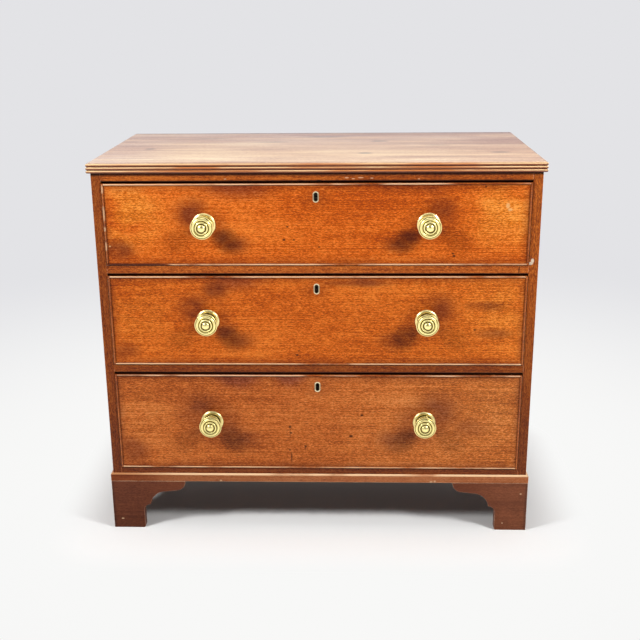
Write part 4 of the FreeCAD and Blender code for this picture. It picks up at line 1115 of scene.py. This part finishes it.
class CHEST_OT_knobs(ChestOperator, bpy.types.Operator):
    """Turn the brass knobs and their roses"""

    bl_idname = "chest.knobs"
    bl_label = "Knobs and Roses"

    def execute(self, context):
        metal = context.scene.chest_brass
        knob = turned("knob_pattern", knob_profile())
        rose = turned("rose_pattern", rose_profile())
        for number in DRAWERS:
            # turned brass, polished by hands and rags; the lower a knob, the less
            brass = old_brass("turned_brass_rubbed_bright_%d" % number, metal.brass_clean,
                              metal.brass_tarnished, dulled=DULLED[number])
            start = (-KNOB_OUT, FACE, middle("knobs_%d" % number).z)
            for name, pattern, node in (("turned_knobs_%d", knob, "knobs_%d"),
                                        ("dished_roses_%d", rose, "knob_roses_%d")):
                piece = ranks(name % number, pattern, brass, start,
                              across=(2, PAIR_STEP), turn=3.0, seed=number)
                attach(piece, "drawer_%d" % number)
                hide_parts(node % number)
            # drawn brass, let in flush and left dull
            thread = old_brass("drawn_brass_thread_dulled_%d" % number, metal.thread, linear("#2A1B10"),
                               dirt_and_shade=packed_dirt(number))
            dress(thread, "escutcheon_%d" % number)
            dress(brass, "lock_bolt_%d" % number)
        return {"FINISHED"}


class CHEST_OT_ironwork(ChestOperator, bpy.types.Operator):
    """Add the knobs' nuts, the locks' screws and the back's nails"""

    bl_idname = "chest.ironwork"
    bl_label = "Nuts, Screws and Nails"

    def execute(self, context):
        metal = context.scene.chest_brass
        iron = filed_iron(metal.iron)
        nut = square_nut("nut_pattern", metal.nut_side, metal.nut_thick, metal.shank_radius, metal.shank_tail)
        screw = slotted_head("screw_pattern", metal.screw_radius, 0.5 * MM, 1.0 * MM)
        nail = cut_nail("nail_pattern", metal.nail_side)
        inset = 5.5 * MM
        for number in DRAWERS:
            nuts = ranks("knob_nuts_%d" % number, nut, iron,
                         (-KNOB_OUT, FRONT_BACK, middle("knobs_%d" % number).z),
                         across=(2, PAIR_STEP), turn=0.6, seed=number + 4)
            low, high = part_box("lock_%d" % number)
            screws = ranks("lock_screws_%d" % number, screw, iron,
                           (low.x + inset, FRONT_BACK, low.z + inset),
                           across=(2, (high.x - low.x - 2 * inset, 0, 0)),
                           up=(2, (0, 0, high.z - low.z - 2 * inset)), turn=1.5, seed=number)
            for piece in (nuts, screws):
                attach(piece, "drawer_%d" % number)
            dress(iron, "lock_%d" % number)
        rows = 2 * BOARDS
        step = (BOARDS_HIGH.z - BOARDS_LOW.z) / rows
        edge = 5 * MM
        nails = ranks("back_nails", nail, iron, (BOARDS_LOW.x + edge, BOARDS_HIGH.y, BOARDS_LOW.z + step / 2),
                      across=(2, (BOARDS_HIGH.x - BOARDS_LOW.x - 2 * edge, 0, 0)),
                      up=(rows, (0, 0, step)), turn=0.5, seed=9)
        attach(nails, "carcass")
        return {"FINISHED"}


# Half the floor's side, well past what the camera sees.
FLOOR_REACH = 60.0
# How far from the chest the paper still takes its shadow, and where its tone turns to the far one.
SHADOW_REACH = 0.15
TONE_TURNS = (0.6, 2.4)
# How bright metal mirrors the paper, where one is what the eye sees of it.
GLARE = 1.6
# Where, looking from front to back, the dim room that polish shows turns to the pale one.
ROOM_TURNS = (-0.35, 0.25)
# What the lamps are turned toward.
LAMP_AIM = Vector((0, 0, 0.45))
# Each lamp's name, place, side in metres, share of the lamps' power and whether polish mirrors it.
LAMPS = (
    ("left_lamp", (-1.72, -1.25, 1.77), 0.45, 1.0, True),
    ("right_lamp", (1.72, -1.25, 1.77), 0.45, 0.97, True),
    ("upper_lamp", (0.0, -0.1, 2.7), 1.6, 0.55, True),
    ("rear_lamp", (0.0, 2.3, 0.95), 0.6, 0.25, False),
)
# Where the camera stands, and its turns in degrees.
EYE = Vector((0.0711, -2.1883, 1.1057))
YAW = 1.875
PITCH = 17.51
ROLL = -0.497


class CHEST_OT_studio(ChestOperator, bpy.types.Operator):
    """Lay the floor and set the lamps and camera"""

    bl_idname = "chest.studio"
    bl_label = "Studio"

    def execute(self, context):
        scene = context.scene
        studio = scene.chest_studio
        self.lay_floor(scene, studio)
        self.light(scene, studio)
        self.set_camera(scene, studio)
        scene.view_settings.view_transform = "Standard"
        return {"FINISHED"}

    def lay_floor(self, scene, studio):
        """White paper: lit and shaded near the chest, its own even tone far off, where no lamp reaches."""
        material, tree, place = new_finish("matt_white_paper")
        past = add(tree, "offset", add(tree, "sizes", place), (CAD_BOX[1].x, CAD_BOX[1].y, 0))
        clear = add(tree, "distance", add(tree, "at_least", past, (0, 0, 0)))
        shown = self.seen_directly(tree)
        lit = add(tree, "ShaderNodeBsdfPrincipled",
                  {"Base Color": add(tree, "blend", shown, studio.bounce, studio.floor),
                   "Roughness": 0.9, "Specular IOR Level": 0.1})
        far = add(tree, "fade", add(tree, "distance", place), *TONE_TURNS)
        tone = add(tree, "blend", far, studio.near_floor, studio.far_floor)
        camera = add(tree, "ShaderNodeLightPath").outputs["Is Camera Ray"]
        # metal mirrors the paper as bright as the lamps make it; the eye takes it for plain white
        bright = add(tree, "fade", camera, 0.0, 1.0, GLARE, 1.0)
        even = add(tree, "ShaderNodeEmission", {"Color": tone, "Strength": bright})
        share = add(tree, "times", add(tree, "fade", clear, 0.0, SHADOW_REACH), shown)
        add(tree, "ShaderNodeOutputMaterial", {"Surface": add(tree, "ShaderNodeMixShader", share, lit, even)})
        mesh = bpy.data.meshes.new("floor")
        corners = [(x, y, 0) for x, y in oblong(2 * FLOOR_REACH, 2 * FLOOR_REACH)]
        mesh.from_pydata(corners, [], [(0, 1, 2, 3)])
        mesh.materials.append(material)
        floor = bpy.data.objects.new("floor", mesh)
        scene.collection.objects.link(floor)

    def seen_directly(self, tree):
        """One for what the camera, a mirror or a glass sees, nought for what lights the scene."""
        ray = add(tree, "ShaderNodeLightPath").outputs
        mirrored = add(tree, "larger", ray["Is Glossy Ray"], ray["Is Transmission Ray"])
        return add(tree, "larger", ray["Is Camera Ray"], mirrored)

    def light(self, scene, studio):
        """An even room, which polish shows dim before the chest, and lamps before, over and behind it."""
        world = bpy.data.worlds.new("studio_room")
        world.use_nodes = True
        tree = world.node_tree
        tree.nodes.clear()
        even = add(tree, "ShaderNodeBackground", {"Color": (1, 1, 1, 1), "Strength": studio.world_strength})
        back = add(tree, "parts", add(tree, "ShaderNodeTexCoord").outputs["Generated"]).outputs["Y"]
        mirrored = add(tree, "blend", add(tree, "fade", back, *ROOM_TURNS), studio.room, studio.far_floor)
        camera = add(tree, "ShaderNodeLightPath").outputs["Is Camera Ray"]
        tint = add(tree, "blend", camera, mirrored, studio.far_floor)
        paper = add(tree, "ShaderNodeBackground", {"Color": tint, "Strength": 1.0})
        both = add(tree, "ShaderNodeMixShader", self.seen_directly(tree), even, paper)
        add(tree, "ShaderNodeOutputWorld", {"Surface": both})
        scene.world = world
        for name, place, size, share, mirrored in LAMPS:
            lamp = bpy.data.lights.new(name, "AREA")
            lamp.shape = "SQUARE"
            lamp.size = size
            lamp.energy = studio.lamp_watts * share
            item = bpy.data.objects.new(name, lamp)
            item.visible_camera = False
            item.visible_glossy = mirrored
            aim = (LAMP_AIM - Vector(place)).to_track_quat("-Z", "Y")
            item.matrix_world = Matrix.Translation(place) @ aim.to_matrix().to_4x4()
            scene.collection.objects.link(item)

    def set_camera(self, scene, studio):
        """The camera, as far off and as high as a visitor's eye that looks the chest over."""
        camera = bpy.data.cameras.new("camera")
        camera.sensor_width = 36.0
        camera.lens = studio.lens
        item = bpy.data.objects.new("camera", camera)
        item.matrix_world = (Matrix.Translation(EYE) @ Matrix.Rotation(math.radians(YAW), 4, "Z")
                             @ Matrix.Rotation(math.radians(90) - math.radians(PITCH), 4, "X")
                             @ Matrix.Rotation(math.radians(ROLL), 4, "Z"))
        scene.collection.objects.link(item)
        scene.camera = item


class CHEST_PT_sidebar(bpy.types.Panel):
    """Lists the chest's pieces and settings"""

    bl_idname = "CHEST_PT_sidebar"
    bl_label = "Bachelor's Chest"
    bl_space_type = "VIEW_3D"
    bl_region_type = "UI"
    bl_category = "Chest"

    def draw(self, context):
        for operator in OPERATORS:
            self.layout.operator(operator.bl_idname)
        for setting in SETTINGS:
            group = getattr(context.scene, setting)
            box = self.layout.box()
            for name in group.__annotations__:
                box.prop(group, name)


SETTINGS = {"chest_timbers": ChestTimbers, "chest_brass": ChestBrass, "chest_studio": ChestStudio}
OPERATORS = (CHEST_OT_studio, CHEST_OT_top, CHEST_OT_case, CHEST_OT_base, CHEST_OT_carcase_pine,
             CHEST_OT_drawers, CHEST_OT_knobs, CHEST_OT_ironwork)


def register():
    for name, group in SETTINGS.items():
        bpy.utils.register_class(group)
        setattr(bpy.types.Scene, name, bpy.props.PointerProperty(type=group))
    for item in (*OPERATORS, CHEST_PT_sidebar):
        bpy.utils.register_class(item)


def unregister():
    for item in (CHEST_PT_sidebar, *reversed(OPERATORS)):
        bpy.utils.unregister_class(item)
    for name, group in reversed(SETTINGS.items()):
        delattr(bpy.types.Scene, name)
        bpy.utils.unregister_class(group)


def main():
    register()
    for operator in OPERATORS:
        family, name = operator.bl_idname.split(".")
        getattr(getattr(bpy.ops, family), name)()


if __name__ == "__main__":
    main()
